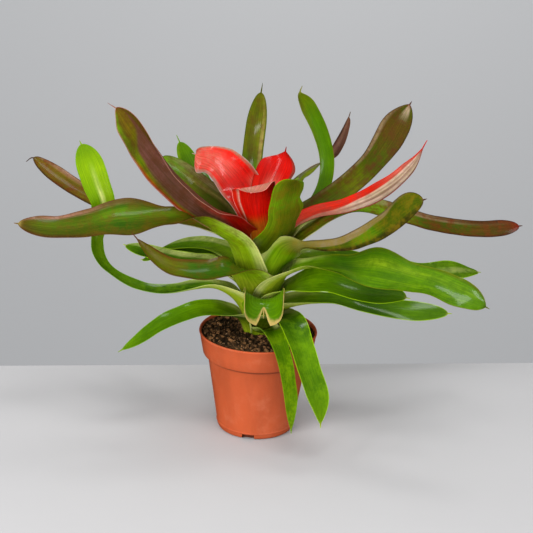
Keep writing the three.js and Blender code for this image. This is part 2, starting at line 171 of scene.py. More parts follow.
# seat: height on the stem. path: [right, back, up] of the middle line, from where the blade leaves the
# column of sheaths to the tip. The other lists are spread evenly from the stem to the tip.
# width: of the sheath, then of the blade. left, right: how far each half of the blade reaches, as a share of
# half its width. roll: degrees about the middle line; positive lifts the left margin, seen from the stem.
# cup: degrees each side that the blade is channelled. fold: 1 for an even curve across, less for a crease at
# the midrib. ruffle: [height, waves] of the margins. lobes: how far the margins run on past the middle at the
# end. tip: length over which the blade rounds off, point: more than 0.5 for a sharper end, and spike: the
# length of the hard point that ends it. What a leaf doesn't say is as on a plain one.
PLAIN_LEAF = dict(
    left=[1, 1], right=[1, 1], roll=[0, 0], cup=[50, 30, 15], fold=1, ruffle=[0, 0], lobes=0,
    tip=36, point=0.5, spike=4)
LEAVES = [
    dict(name="heart_leaf_left", kind="red", seat=183, width=[24, 34, 46, 46, 34], tip=6,
         left=[1, 1, 0.9, 0.8, 1.15], right=[1, 1, 1, 0.9, 0.3],
         path=[[-10, 10, 222], [-18, 16, 243], [-32, 24, 260], [-52, 34, 275], [-72, 40, 277]],
         roll=[0, -20, -30, -30], cup=[40, 30, 20, 10], ruffle=[4, 3]),
    dict(name="heart_leaf_right", kind="red", seat=180, width=[22, 30, 42, 40], tip=20, point=1.2,
         path=[[4, 9, 228], [8, 18, 250], [14, 26, 264], [20, 33, 277], [22, 37, 288]],
         cup=[50, 45, 30], ruffle=[2, 3]),
    dict(name="heart_leaf_front", kind="red", seat=178, width=[26, 24, 32, 42, 46], tip=12, spike=1,
         path=[[-2, -15, 215], [-6, -20, 238], [-8, -23, 252], [-9, -28, 264], [-10, -35, 267],
               [-11, -39, 262]],
         roll=[0, 0, 4, 10, 14], cup=[50, 45, 25, 5]),
    dict(name="leaf_up_left", kind="bronze", seat=174, width=[32, 36, 34, 35, 35, 31, 24], tip=24, spike=9,
         left=[1, 1, 1, 1.1, 1.3, 1.35, 1.3, 1.2, 1], right=[1, 1, 1, 1, 1, 0.95, 0.85, 0.6, 0.4],
         path=[[-28, -21, 226], [-52, -30, 245], [-67, -34, 260], [-84, -38, 278], [-102, -41, 300],
               [-118, -42, 320], [-133, -42, 338], [-147, -42, 347]],
         roll=[-10, -60, -110, -140, -150, -150, -140, -110, -90], cup=[60, 66, 70, 70, 55, 25], fold=0.5),
    dict(name="leaf_right_red", kind="red", seat=172, width=[34, 30, 20, 19, 22, 17, 9], spike=8, point=0.7,
         path=[[32, -9, 222], [52, -12, 235], [82, -14, 244], [107, -15, 256], [128, -16, 272],
               [145, -16, 292], [156, -16, 314]],
         roll=[0, -20, -50, -60, -65, -60, -40], cup=[50, 30, 20, 20]),
    dict(name="leaf_heart_green", kind="green", seat=168, width=[38, 50, 50, 44, 42, 36, 30], tip=12,
         left=[1, 1, 1, 0.95, 1.15, 0.9, 1.2, 0.95, 1.2, 1.1, 0.5],
         right=[1, 1, 1.1, 1, 0.9, 0.95, 1.1, 1.4],
         path=[[18, -22, 210], [22, -27, 223], [24, -31, 238], [24, -36, 252], [26, -41, 264],
               [28, -44, 274], [34, -47, 282]],
         cup=[60, 40, 24, 20]),
    dict(name="leaf_back_top", kind="green", seat=166, width=[32, 28, 22, 22, 20], spike=10,
         path=[[-8, 30, 226], [-13, 48, 251], [-12, 72, 270], [-9, 96, 297], [-4, 112, 334]],
         cup=[50, 30, 25]),
    dict(name="leaf_mid_left_back", kind="bronze", seat=164, width=[32, 30, 25, 25, 24],
         path=[[-27, 18, 219], [-40, 26, 230], [-58, 34, 240], [-74, 40, 250], [-90, 47, 260],
               [-106, 52, 271]],
         roll=[0, -30, -40, -40], cup=[50, 30, 20]),
    dict(name="leaf_back_small", kind="green", seat=162, width=[30, 28, 26, 28, 28], spike=8,
         path=[[-26, 24, 212], [-46, 42, 226], [-64, 62, 238], [-78, 80, 256], [-91, 92, 281]],
         cup=[50, 30, 20]),
    dict(name="leaf_back_right_green", kind="green", seat=160, width=[32, 28, 20, 18, 18, 19, 18], tip=22,
         spike=6, point=0.8,
         path=[[26, 22, 206], [46, 38, 218], [62, 58, 238], [66, 76, 262], [58, 92, 290], [44, 103, 314],
               [35, 108, 326], [37, 110, 333]],
         cup=[50, 30, 20]),
    dict(name="leaf_right_up", kind="bronze", seat=158, width=[32, 32, 24, 24, 25, 28, 28], tip=30,
         point=0.7,
         left=[1, 1, 1, 1, 1, 1.1, 0.8], right=[1, 1, 1, 1, 0.95, 1.1, 1.2],
         path=[[32, 15, 215], [60, 26, 233], [84, 34, 250], [107, 42, 271], [123, 51, 293], [134, 60, 313],
               [147, 68, 331]],
         roll=[0, 20, 50, 60, 60, 60]),
    dict(name="leaf_back_right_thin", kind="bronze", seat=154, width=[30, 24, 18, 20, 22, 22, 20], spike=6,
         path=[[17, 34, 208], [28, 50, 236], [42, 70, 252], [56, 90, 255], [69, 106, 261], [77, 114, 273],
               [84, 120, 288], [89, 126, 303]],
         roll=[0, 0, 60, 120, 150, 150], cup=[50, 30, 20]),
    dict(name="leaf_right_far", kind="bronze", seat=150, width=[34, 32, 22, 19, 24, 20, 20, 20, 19], tip=24,
         path=[[32, 3, 196], [54, 11, 213], [76, 19, 226], [95, 25, 230], [115, 31, 228], [140, 38, 220],
               [166, 44, 211], [195, 52, 204], [232, 60, 200], [270, 68, 203]],
         roll=[0, 10, 20, 25, 45, 50, 50, 50, 50]),
    dict(name="leaf_left_brown", kind="bronze", seat=152, width=[34, 30, 22, 21, 21, 22, 21], spike=10,
         path=[[-33, 7, 200], [-56, 14, 208], [-78, 22, 210], [-104, 32, 210], [-131, 42, 211],
               [-158, 50, 215], [-192, 62, 229], [-212, 68, 240], [-228, 74, 250], [-238, 77, 256],
               [-245, 79, 251]],
         roll=[0, -10, -10, -25, -30, -30], cup=[50, 30, 20]),
    dict(name="leaf_right_twisted", kind="bronze", seat=144, width=[40, 52, 38, 8, 13, 21, 26, 27, 24],
         tip=24, point=0.6,
         path=[[28, -29, 204], [45, -42, 213], [61, -50, 216], [80, -57, 222], [98, -66, 234],
               [116, -76, 250], [134, -87, 271], [151, -97, 281]],
         roll=[0, 0, -40, -90, -105, -110, -115, -110, -100], cup=[50, 45, 40, 30, 20]),
    dict(name="leaf_left_long", kind="bronze", seat=140, width=[40, 50, 42, 30, 25, 43, 31, 25, 24], tip=26,
         point=0.6,
         left=[1, 1.1, 1.35, 1.2, 1, 1, 1, 1], right=[1, 1, 1, 0.8, 0.9, 1, 1, 1],
         path=[[-26, -24, 203], [-40, -30, 216], [-54, -36, 228], [-70, -42, 238], [-93, -48, 239],
               [-120, -54, 239], [-145, -59, 237], [-169, -62, 232], [-200, -67, 230], [-233, -70, 235]],
         roll=[0, 0, 0, 5, -50, -62, -60, -55, -50], cup=[45, 30, 20]),
    dict(name="leaf_back_left_high", kind="green", seat=138, width=[34, 34, 26, 26, 22],
         path=[[-26, 22, 174], [-38, 34, 177], [-56, 56, 174], [-80, 84, 164], [-109, 115, 148]],
         roll=[0, -10, -20, -20]),
    dict(name="leaf_right_mid_back", kind="green", seat=134, width=[34, 34, 24, 23, 23, 24, 24], tip=26,
         path=[[32, 15, 170], [60, 28, 176], [92, 44, 170], [130, 62, 156], [165, 75, 147], [190, 83, 144],
               [212, 91, 143], [236, 100, 138]],
         roll=[0, 0, 0, 20, 30, 20], cup=[50, 30, 10], ruffle=[2, 5]),
    dict(name="leaf_front_left", kind="bronze", seat=130, width=[44, 64, 50, 31, 27, 22, 18, 15], spike=8,
         point=0.7,
         right=[1, 1.2, 1.25, 1, 1, 1, 1, 1],
         path=[[-12, -37, 175], [-19, -54, 191], [-31, -64, 194], [-48, -69, 192], [-69, -73, 194],
               [-85, -76, 198], [-98, -78, 207], [-110, -80, 220], [-121, -80, 233]],
         roll=[0, 0, -10, -35, -45, -45, -40]),
    dict(name="leaf_right_big", kind="green", seat=124, width=[40, 58, 36, 32, 42, 37, 34, 30], point=0.6,
         left=[1.1, 1.35, 1.1, 0.8, 1.15, 1, 1, 1], right=[1, 0.85, 1, 1, 1, 1, 1, 1],
         path=[[22, -22, 168], [34, -28, 180], [50, -34, 188], [70, -41, 192], [90, -48, 192],
               [113, -58, 194], [142, -70, 192], [166, -81, 191], [183, -90, 187], [199, -97, 184],
               [216, -103, 177]],
         roll=[0, 10, 20, 40, 55, 50, 45, 40], cup=[50, 30, 10], ruffle=[3, 2.5]),
    dict(name="leaf_back_left_mid", kind="green", seat=126, width=[34, 32, 24, 23, 20],
         path=[[-32, 14, 161], [-54, 30, 165], [-84, 52, 159], [-108, 70, 157], [-147, 98, 157]],
         roll=[0, -10, -20, -20], cup=[50, 30, 10]),
    dict(name="leaf_back_low", kind="green", seat=122, width=[34, 40, 32, 30, 28],
         path=[[2, 33, 170], [4, 62, 184], [6, 110, 178], [2, 160, 150]]),
    dict(name="leaf_back_left_low", kind="green", seat=118, width=[34, 34, 24, 22, 20],
         path=[[-20, 25, 162], [-40, 46, 168], [-64, 68, 162], [-98, 100, 147], [-131, 128, 129]],
         roll=[0, 0, -10, -20]),
    dict(name="leaf_right_lower", kind="green", seat=110, width=[40, 56, 40, 34, 33, 30],
         path=[[24, -19, 152], [42, -27, 166], [66, -35, 173], [100, -46, 169], [146, -60, 168]],
         roll=[0, 10, 40, 40, 30]),
    dict(name="leaf_left_bent", kind="green", seat=108, width=[40, 56, 34, 23, 17, 15, 19, 24, 27, 27],
         tip=24, point=0.6,
         path=[[-29, -18, 148], [-46, -25, 159], [-64, -28, 159], [-87, -31, 156], [-105, -33, 157],
               [-122, -34, 162], [-140, -36, 172], [-154, -37, 186], [-160, -38, 206], [-156, -37, 227],
               [-153, -36, 247], [-159, -34, 264], [-167, -30, 286], [-176, -25, 305]],
         roll=[0, 0, 0, -10, -20, -25, -45, -80, -85, -85], cup=[50, 30, 10]),
    dict(name="leaf_right_lowest", kind="green", seat=102, width=[38, 48, 26, 21, 22, 21],
         path=[[28, -11, 134], [50, -15, 143], [76, -18, 146], [100, -21, 145], [122, -23, 142],
               [155, -26, 141], [191, -31, 142]],
         roll=[0, 0, 10, 40, 50, 40], cup=[50, 30, 10]),
    dict(name="leaf_front_stub", kind="green", seat=99, width=[40, 48, 50, 46, 42], tip=5, spike=11,
         lobes=19,
         path=[[3, -30, 132], [4, -36, 149], [5, -44, 156], [5, -51, 155], [5, -55, 149], [5, -57, 141]],
         cup=[85, 75, 65, 60, 60]),
    dict(name="leaf_low_left", kind="green", seat=95, width=[38, 42, 25, 21, 20, 18], point=0.8,
         path=[[-27, -20, 128], [-43, -30, 137], [-58, -36, 139], [-75, -41, 135], [-92, -45, 128],
               [-113, -50, 114], [-137, -52, 98]],
         roll=[0, 0, -25, -30, -20, -20]),
    dict(name="leaf_front_right", kind="green", seat=94, width=[38, 46, 32, 28, 27, 22], point=0.8,
         path=[[20, -38, 133], [30, -54, 138], [39, -67, 124], [49, -80, 100], [61, -91, 70], [64, -98, 45]]),
    dict(name="leaf_front_narrow", kind="green", seat=89, width=[34, 32, 18, 16, 13], point=0.8,
         path=[[7, -34, 116], [14, -50, 124], [22, -64, 113], [29, -73, 92], [34, -80, 63], [36, -84, 31]],
         cup=[50, 30, 20]),
]

# How each leaf is coloured. sheath: the palette's names for its sheath's sides and middle. upper and under:
# from the stem to the tip. margin: its fine edge line. tip: colour and length of the drying end. patch:
# colour and strength of its blotches. A band is a strip that runs along the leaf: its surface, its two edges
# (-1 is the right margin and 1 the left one), how soft they are, its colour, and its strengths from the stem
# to the tip. An edge that wanders is a list. What a leaf doesn't say is as on a plain one.
PLAIN_FINISH = dict(
    sheath=("cream", "pale"), under="pale lime green", margin="lime", tip=("straw", 5), patch=("deep", 0.5),
    bands=[])
FINISH = {
    "heart_leaf_left": dict(
        sheath=("red", "orange"), upper="orange crimson red red scarlet coral",
        under="pale orange red crimson wine", margin="grey", tip=None, patch=("red", 0.6),
        bands=[("upper", -1.1, -0.86, 0.1, "grey", [0, 0, 0.2, 0.8, 0.9]),
               # The blush and rose bands are painted sheen: pale highlight streaks near the base, a pink
               # sheen towards the tip.
               ("upper", -0.85, -0.45, 0.3, "blush", [0, 0, 0.8, 0, 0, 0.3]),
               ("upper", -0.5, 0.7, 0.6, "rose", [0, 0, 0, 0.05, 0.4, 0.5]),
               ("upper", 0.82, 1.1, 0.15, "grey", [0, 0, 0.3, 0.9, 0.8])]),
    "heart_leaf_right": dict(
        sheath=("red", "orange"), upper="orange red scarlet red red", under="pale orange red crimson",
        margin="wine", tip=("crimson", 8), patch=("crimson", 0.3),
        bands=[("upper", -1.1, -0.8, 0.15, "plum", [0, 0, 0.3, 0.9, 0.6]),
               # The blush band is a painted sheen.
               ("upper", -0.3, 0.35, 0.5, "blush", [0, 0, 0.3, 0.25, 0, 0])]),
    "heart_leaf_front": dict(
        sheath=("amber", "lime"), upper="lime orange red mauve mauve mauve rose mauve",
        under="pale pale amber orange red red red red", margin="rose", tip=None, patch=("crimson", 0.25),
        bands=[("under", -1.1, -0.7, 0.08, "scarlet", [0, 0, 0.2, 0.5, 0.8, 0.8]),
               ("under", -0.74, -0.68, 0.06, "blush", [0, 0, 0.5, 0.8, 0.8, 0.3]),
               ("under", 0.7, 1.1, 0.3, "crimson", [0, 0, 0.3, 0.7, 0.7, 0.6])]),
    "leaf_up_left": dict(
        sheath=("crimson", "red"), upper="pale amber wine olive olive khaki olive khaki khaki",
        under="pale orange wine plum plum plum plum brown", margin="mauve", tip=("wine", 10),
        patch=("brown", 0.6),
        bands=[("upper", -1.1, [-1, -0.2, 0.7, 0.8, 0.8, 0.75, 0.6, -0.1, -0.9], 0.1, "plum",
                [0, 0, 0.4, 1, 1, 1, 1, 1, 0]),
               ("upper", -1.1, [-1, -1, 0.2, 0, -0.3, -0.6, -0.8, -1], 0.6, "mauve",
                [0, 0, 0.6, 0.9, 0.6, 0.4, 0.2, 0]),
               ("upper", -1.1, 0.2, 0.4, "crimson", [0, 0.6, 1, 0.6, 0, 0, 0, 0, 0]),
               ("upper", -1.1, -0.45, 0.1, "bronze", [0, 0, 0, 0, 0, 0, 0, 0.3, 1, 1, 1]),
               ("upper", 0.7, 1.1, 0.3, "spring", [0, 0, 0, 0, 0.3, 0.8, 0.9]),
               ("upper", 0.88, 1.1, 0.1, "crimson", [0, 0.5, 0.9, 0.9, 0.7, 0, 0])]),
    "leaf_right_red": dict(
        sheath=("crimson", "scarlet"), upper="orange crimson crimson wine wine brown",
        # Its pale rose and blush underside is partly its scurf's own colour, partly a painted sheen.
        under="pale rose rose rose blush blush blush mauve", margin="crimson", tip=("red", 14),
        patch=("plum", 0.35),
        bands=[("under", -1.1, [0.4, 0.4, 0.1, -0.35, -0.5, -0.65], 0.15, "scarlet",
                [0, 0.2, 0.9, 1, 1, 0.8, 0.9]),
               ("under", -0.25, -0.1, 0.12, "mauve", [0, 0, 0, 0.2, 0.5, 0.6, 0.4]),
               ("under", 0.1, 0.35, 0.2, "mauve", [0, 0, 0, 0.2, 0.8, 0.8, 0.6, 0.3]),
               ("under", 0.75, 1.1, 0.2, "bronze", [0, 0, 0, 0, 0, 0.6, 0.9, 0.9]),
               ("under", 0.82, 1.1, 0.1, "crimson", [0, 0, 0.9, 0.9, 0.7, 0, 0])]),
    "leaf_heart_green": dict(
        upper="lime spring green green", under="orange pale moss moss olive olive spring olive olive",
        margin="spring", tip=("plum", 4), patch=("khaki", 0.7),
        bands=[("under", -1.1, -0.55, 0.4, "spring", [0, 0, 0.3, 0.5, 0.5, 0.4]),
               ("under", -0.25, 0.2, 0.4, "deep", [0, 0, 0.4, 0.3, 0.3, 0]),
               ("under", 0.75, 1.1, 0.3, "spring", [0, 0, 0.3, 0.6, 0.8, 0.6])]),
    "leaf_back_top": dict(
        upper="lime spring spring spring olive olive olive", margin="moss", tip=("brown", 10),
        patch=("brown", 0.5),
        bands=[("upper", -0.15, 0.5, 0.3, "umber", [0, 0, 0.1, 0.25, 0.3, 0.2, 0]),
               ("upper", -0.85, -0.55, 0.15, "straw", [0, 0, 0.15, 0.7, 0.7, 0.2, 0])]),
    "leaf_mid_left_back": dict(
        upper="lime spring olive moss moss olive green spring", under="pale olive bronze bronze",
        margin="moss", tip=("brown", 4), patch=("brown", 0.6),
        bands=[("upper", -1.1, -0.45, 0.4, "taupe", [0, 0, 0.5, 0.7, 0.6, 0.5, 0]),
               ("upper", -0.3, 0.0, 0.25, "straw", [0, 0, 0.3, 0.35, 0.2, 0])]),
    "leaf_back_small": dict(
        upper="lime spring green green spring", under="pale lime spring", margin="spring", tip=("green", 6),
        patch=("deep", 0.3),
        bands=[("upper", 0.6, 1.1, 0.5, "lime", [0, 0, 0, 0.5, 0.6])]),
    "leaf_back_right_green": dict(
        upper="lime spring green green green olive", under="pale lime spring green", margin="olive",
        tip=("straw", 7), patch=("deep", 0.35),
        bands=[("upper", 0.55, 1.1, 0.5, "bronze", [0, 0, 0, 0, 0.3, 0.9])]),
    "leaf_right_up": dict(
        upper="lime spring moss moss olive moss bronze moss", under="pale lime bronze plum plum",
        margin="umber", tip=("wine", 6), patch=("brown", 0.8),
        bands=[("upper", 0.72, 1.1, 0.2, "taupe", [0, 0, 0, 0.3, 0.5, 0.9, 0.9, 0.2]),
               ("upper", -0.5, 0.1, 0.4, "blush", [0, 0, 0, 0, 0, 0, 0, 0, 0, 0.7])]),
    "leaf_back_right_thin": dict(
        upper="lime spring lime pale pale green", under="pale spring lime pale fawn plum plum plum",
        margin="brown", tip=("moss", 4), patch=("brown", 0.4),
        bands=[("under", -0.2, 0.5, 0.4, "mauve", [0, 0, 0, 0.2, 0.7, 0.7, 0.6]),
               ("upper", -0.1, 1.1, 0.3, "pearl", [0, 0, 0, 0.9, 0.9, 0])]),
    "leaf_right_far": dict(
        upper="lime spring olive moss spring spring moss moss bronze brown",
        under="pale spring lime lime moss bronze", margin="umber", tip=("wine", 12), patch=("russet", 0.8),
        bands=[("upper", 0.45, 1.1, 0.2, "taupe", [0, 0, 0, 0.3, 0.9, 0.8, 0.2, 0.1]),
               ("upper", 0.6, 1.1, 0.3, "brown", [0, 0, 0, 0, 0, 0.4, 0.7, 0.9, 0.9]),
               ("upper", -1.1, -0.75, 0.2, "brown", [0, 0, 0, 0, 0.3, 0.6, 0.8, 0.9, 0.9])]),
    "leaf_left_brown": dict(
        upper="lime spring olive moss olive khaki khaki khaki", under="pale olive bronze brown",
        margin="umber", tip=("umber", 12), patch=("russet", 0.8),
        bands=[("upper", -1.1, -0.6, 0.35, "mauve", [0, 0, 0, 0.2, 0.4, 0.5, 0.7, 0.4]),
               ("upper", 0.75, 1.1, 0.3, "umber", [0, 0, 0, 0, 0.6, 0.7, 0.6])]),
    "leaf_right_twisted": dict(
        upper="pale lime lime olive olive green olive olive olive",
        under="pale spring spring olive moss moss green moss moss moss", margin="umber", tip=("plum", 5),
        patch=("khaki", 0.6),
        bands=[("under", -1.1, [1.2, 1.2, 1.2, 0.6, 0.2, -0.1, -0.4, -0.8, -1.2], 0.2, "taupe",
                [0, 0, 0, 0.3, 0.7, 0.9, 0.8, 0.5, 0]),
               ("under", -1.1, [-0.8, -0.8, -0.8, -0.7, -0.8, -0.9, -0.8, -1.1], 0.15, "umber",
                [0, 0, 0, 0.3, 0.6, 0.5, 0.4, 0]),
               ("under", 0.6, 1.1, 0.3, "umber", [0, 0, 0, 0.7, 0.9, 0.8, 0.7, 0.5]),
               ("upper", 0.65, 1.1, 0.3, "russet", [0, 0.5, 0.8, 0.2, 0])]),
    "leaf_left_long": dict(
        upper="pale lime olive moss moss moss deep moss moss bronze", under="pale lime olive bronze brown",
        margin="brown", tip=("straw", 7), patch=("bronze", 0.6),
        bands=[("upper", -1.1, -0.8, 0.3, "russet", [0, 0, 0, 0.3, 0.5, 0.4, 0.8, 0.9]),
               ("upper", -1.1, -0.72, 0.25, "mauve", [0, 0, 0, 0, 0, 0, 0.3, 0.8, 0.8, 0.5]),
               ("upper", -0.55, 0.05, 0.5, "spring", [0, 0, 0, 0, 0.2, 0.5, 0.5, 0.2, 0.2, 0]),
               ("upper", 0.7, 1.1, 0.3, "brown", [0, 0, 0.3, 0.6, 0.3, 0.6, 0.8, 0.9])]),
    "leaf_back_left_high": dict(
        upper="pale lime lime spring green green",
        bands=[("upper", -1.1, -0.5, 0.3, "cream", [0, 0.5, 0.7, 0.5, 0.1])]),
    "leaf_right_mid_back": dict(
        upper="pale lime spring green spring spring spring", patch=("deep", 0.6),
        # The cream band is a painted sheen.
        bands=[("upper", -0.3, 0.3, 0.4, "cream", [0, 0, 0, 0, 0, 0, 0, 0.6, 0.2, 0.4, 0])]),
    "leaf_front_left": dict(
        upper="pale lime olive deep deep deep olive olive khaki",
        under="pale pale lime lime deep bronze plum", margin="brown", tip=("plum", 12),
        patch=("bronze", 0.6),
        bands=[("upper", -1.1, -0.75, 0.3, "russet", [0, 0, 0.3, 0.6, 0.7, 0.8, 0.5]),
               ("upper", 0.8, 1.1, 0.3, "russet", [0, 0, 0.2, 0.4, 0.3, 0.3]),
               ("upper", -0.5, 0.2, 0.5, "taupe", [0, 0, 0, 0, 0, 0, 0.3, 0.8])]),
    "leaf_right_big": dict(
        upper="pale lime spring deep green green green green", under="pale pale lime spring green",
        margin="olive", tip=("umber", 6), patch=("deep", 0.6),
        bands=[("upper", 0.85, 1.1, 0.2, "bronze", [0, 0, 0.2, 0.3, 0.3, 0.5, 0.8]),
               # The pale band is a painted sheen on the blade's crest.
               ("upper", 0.2, 0.6, 0.4, "pale", [0, 0, 0, 0, 0, 0.3, 0.2, 0.1, 0.1, 0]),
               ("upper", -0.6, -0.3, 0.3, "lime", [0, 0, 0, 0.2, 0.3, 0.1, 0.2, 0.2, 0.1, 0])]),
    "leaf_back_left_mid": dict(
        upper="pale lime spring green deep green",
        bands=[("upper", -1.1, -0.4, 0.3, "cream", [0, 0.5, 0.7, 0.5, 0.2])]),
    "leaf_back_low": dict(
        upper="lime spring green green green"),
    "leaf_back_left_low": dict(
        upper="lime spring green green green"),
    "leaf_right_lower": dict(
        upper="pale lime spring green deep green", under="pale pale lime spring green"),
    "leaf_left_bent": dict(
        upper="pale lime green deep deep green green spring spring lime spring",
        under="pale pale green green green", margin="spring", tip=("pale", 4), patch=("spring", 0.4),
        bands=[("upper", -0.9, -0.2, 0.4, "pale", [0, 0, 0, 0, 0, 0, 0.1, 0.3, 0.1, 0]),
               # The cream band is a painted highlight streak.
               ("upper", -0.2, 0.1, 0.3, "cream", [0, 0, 0, 0, 0, 0, 0, 0, 0, 0, 0, 0.7, 0.8, 0.4, 0, 0])]),
    "leaf_right_lowest": dict(
        upper="pale lime green deep green green", under="pale pale lime spring green"),
    "leaf_front_stub": dict(
        upper="pale lime spring green green", under="moss lime spring lime", margin="straw",
        tip=("lime", 1.5), patch=("deep", 0.4)),
    "leaf_low_left": dict(
        upper="pale lime spring green green spring", under="moss deep green green", margin="spring",
        patch=("deep", 0.4)),
    "leaf_front_right": dict(
        upper="pale deep deep green green spring", under="moss deep green", tip=("orange", 5),
        patch=("spring", 0.5)),
    "leaf_front_narrow": dict(
        upper="pale deep green green spring spring", under="moss deep green", margin="spring",
        tip=("brown", 8), patch=("lime", 0.5)),
}

# ---------------- small helpers


def mix(a, b, share):
    return a + (b - a) * share


def clamp(x, low=0.0, high=1.0):
    return min(max(x, low), high)


def smooth(x):
    x = clamp(x)
    return x * x * (3 - 2 * x)


def spread(values, t):
    """The value at t, 0 to 1, of a list of numbers or vectors spread evenly over that range."""
    at = clamp(t) * (len(values) - 1)
    i = min(int(at), len(values) - 2)
    return mix(values[i], values[i + 1], smooth(at - i))


def linear(value):
    return value / 12.92 if value <= 0.04045 else ((value + 0.055) / 1.055) ** 2.4


def colour(name):
    """A palette colour as linear red, green and blue."""
    text = PALETTE[name]
    return Vector([linear(int(text[i : i + 2], 16) / 255) for i in (1, 3, 5)])


def start_piece():
    """Leaves nothing selected, so that a new primitive is shaped alone."""
    if bpy.context.object and bpy.context.object.mode == "EDIT":
        bpy.ops.object.mode_set(mode="OBJECT")
    bpy.ops.object.select_all(action="DESELECT")


def edit_disc(sides, radius):
    """A new disc, in edit mode with all of it selected."""
    start_piece()
    bpy.ops.mesh.primitive_circle_add(vertices=sides, radius=radius * MM, fill_type="NGON")
    bpy.ops.object.mode_set(mode="EDIT")
    bpy.ops.mesh.select_all(action="SELECT")
    return bpy.context.object


def end_edit():
    """Turns every face outwards and leaves edit mode."""
    bpy.ops.mesh.select_all(action="SELECT")
    bpy.ops.mesh.normals_make_consistent(inside=False)
    bpy.ops.object.mode_set(mode="OBJECT")


def dress(piece, *materials):
    """Gives a piece these materials and no others."""
    piece.data.materials.clear()
    for material in materials:
        piece.data.materials.append(material)


def keep_piece(piece, name, slot, *nodes):
    """Names a finished piece and seats it on the frame, in the place of the nodes that it stands for."""
    piece.name = name
    piece.data.name = name
    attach(piece, "root")
    if nodes:
        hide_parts(*nodes)


def apply_modifiers(piece):
    bpy.context.view_layer.objects.active = piece
    for modifier in list(piece.modifiers):
        bpy.ops.object.modifier_apply(modifier=modifier.name)


# ---------------- materials


class Nodes:
    """The nodes and links of one material or group."""

    def __init__(self, tree):
        self.tree = tree

    def add(self, kind, **settings):
        node = self.tree.nodes.new(kind)
        for name, value in settings.items():
            setattr(node, name, value)
        return node

    def put(self, socket, value):
        if isinstance(value, bpy.types.NodeSocket):
            self.tree.links.new(value, socket)
        else:
            socket.default_value = value

    def math(self, operation, a, b=0.0):
        node = self.add("ShaderNodeMath", operation=operation)
        self.put(node.inputs[0], a)
        self.put(node.inputs[1], b)
        return node.outputs[0]

    def times(self, a, b):
        return self.math("MULTIPLY", a, b)

    def plus(self, a, b):
        return self.math("ADD", a, b)

    def flat(self, x, y):
        """The vector that has these two parts."""
        node = self.add("ShaderNodeCombineXYZ")
        self.put(node.inputs["X"], x)
        self.put(node.inputs["Y"], y)
        return node.outputs[0]

    def mix(self, factor, a, b, blend="MIX"):
        """From colour a to colour b. The node's colour inputs are 6 and 7, and its colour output is 2."""
        node = self.add("ShaderNodeMix", data_type="RGBA", blend_type=blend)
        self.put(node.inputs[0], factor)
        self.put(node.inputs[6], a)
        self.put(node.inputs[7], b)
        return node.outputs[2]

    def step(self, value, low, high):
        """0 where value is at low, 1 where it is at high, and smooth between them."""
        node = self.add("ShaderNodeMapRange", interpolation_type="SMOOTHSTEP")
        self.put(node.inputs["Value"], value)
        self.put(node.inputs["From Min"], low)
        self.put(node.inputs["From Max"], high)
        return node.outputs["Result"]

    def noise(self, vector, scale, detail=2.0, roughness=0.5):
        node = self.add("ShaderNodeTexNoise")
        self.put(node.inputs["Vector"], vector)
        self.put(node.inputs["Scale"], scale)
        self.put(node.inputs["Detail"], detail)
        self.put(node.inputs["Roughness"], roughness)
        return node.outputs["Fac"]

    def place(self):
        return self.add("ShaderNodeTexCoord").outputs["Object"]

    def value(self, name):
        return self.add("ShaderNodeAttribute", attribute_name=name).outputs["Fac"]

    def colour(self, name):
        return self.add("ShaderNodeAttribute", attribute_name=name).outputs["Color"]

    def bump(self, height, distance, strength=1.0):
        node = self.add("ShaderNodeBump")
        self.put(node.inputs["Height"], height)
        self.put(node.inputs["Distance"], distance)
        self.put(node.inputs["Strength"], strength)
        return node.outputs["Normal"]

    def group(self, tree, **values):
        node = self.add("ShaderNodeGroup", node_tree=tree)
        for name, value in values.items():
            self.put(node.inputs[name], value)
        return node.outputs


def new_group(name, inputs, outputs):
    """An empty shader node group with these float inputs and outputs, and its two ends."""
    tree = bpy.data.node_groups.new(name, "ShaderNodeTree")
    for label, value in inputs.items():
        socket = tree.interface.new_socket(label, in_out="INPUT", socket_type="NodeSocketFloat")
        socket.default_value = value
    for label in outputs:
        tree.interface.new_socket(label, in_out="OUTPUT", socket_type="NodeSocketFloat")
    nodes = Nodes(tree)
    return tree, nodes, nodes.add("NodeGroupInput").outputs, nodes.add("NodeGroupOutput").inputs


STREAKS_ALONG = 25.0  # a metre of leaf
RIBS_ALONG = 9.0
RIBS_PER_STREAK = 2.2


def veins_group():
    """Veins that run the length of a leaf: Streak for colour and Rib for height, both 0 to 1."""
    inputs = {"Across": 0.0, "Along": 0.0, "Count": 12.0}
    tree, n, given, result = new_group("lengthwise_veins", inputs, ["Streak", "Rib"])
    broad = n.flat(n.times(given["Across"], given["Count"]), n.times(given["Along"], STREAKS_ALONG))
    n.put(result["Streak"], n.step(n.noise(broad, scale=1.0, detail=4.0, roughness=0.65), 0.32, 0.68))
    ribs = n.times(given["Count"], RIBS_PER_STREAK)
    fine = n.flat(n.times(given["Across"], ribs), n.times(given["Along"], RIBS_ALONG))
    n.put(result["Rib"], n.noise(fine, scale=1.0, roughness=0.6))
    return tree


BARE = 0.66  # the noise at which blotches start where there is no cover
BLOTCH_FADE = 0.24  # of noise, over which they come in


def blotches_group():
    """Blotches, broken up by finer ones: Mask is 0 to 1, and more of it is 1 the higher Cover is."""
    tree, n, given, result = new_group("blotches", {"Scale": 60.0, "Cover": 0.5}, ["Mask"])
    cloud = n.noise(n.place(), given["Scale"], detail=8.0, roughness=0.74)
    low = n.math("SUBTRACT", BARE, n.times(given["Cover"], 0.5))
    n.put(result["Mask"], n.step(cloud, low, n.plus(low, BLOTCH_FADE)))
    return tree


VEINS = veins_group()
BLOTCHES = blotches_group()


def new_material(name):
    """A material with its own Principled shader, and the shorthand for its nodes."""
    material = bpy.data.materials.new(name)
    material.use_nodes = True
    nodes = Nodes(material.node_tree)
    shader = next(node for node in material.node_tree.nodes if node.type == "BSDF_PRINCIPLED")
    return material, nodes, shader.inputs


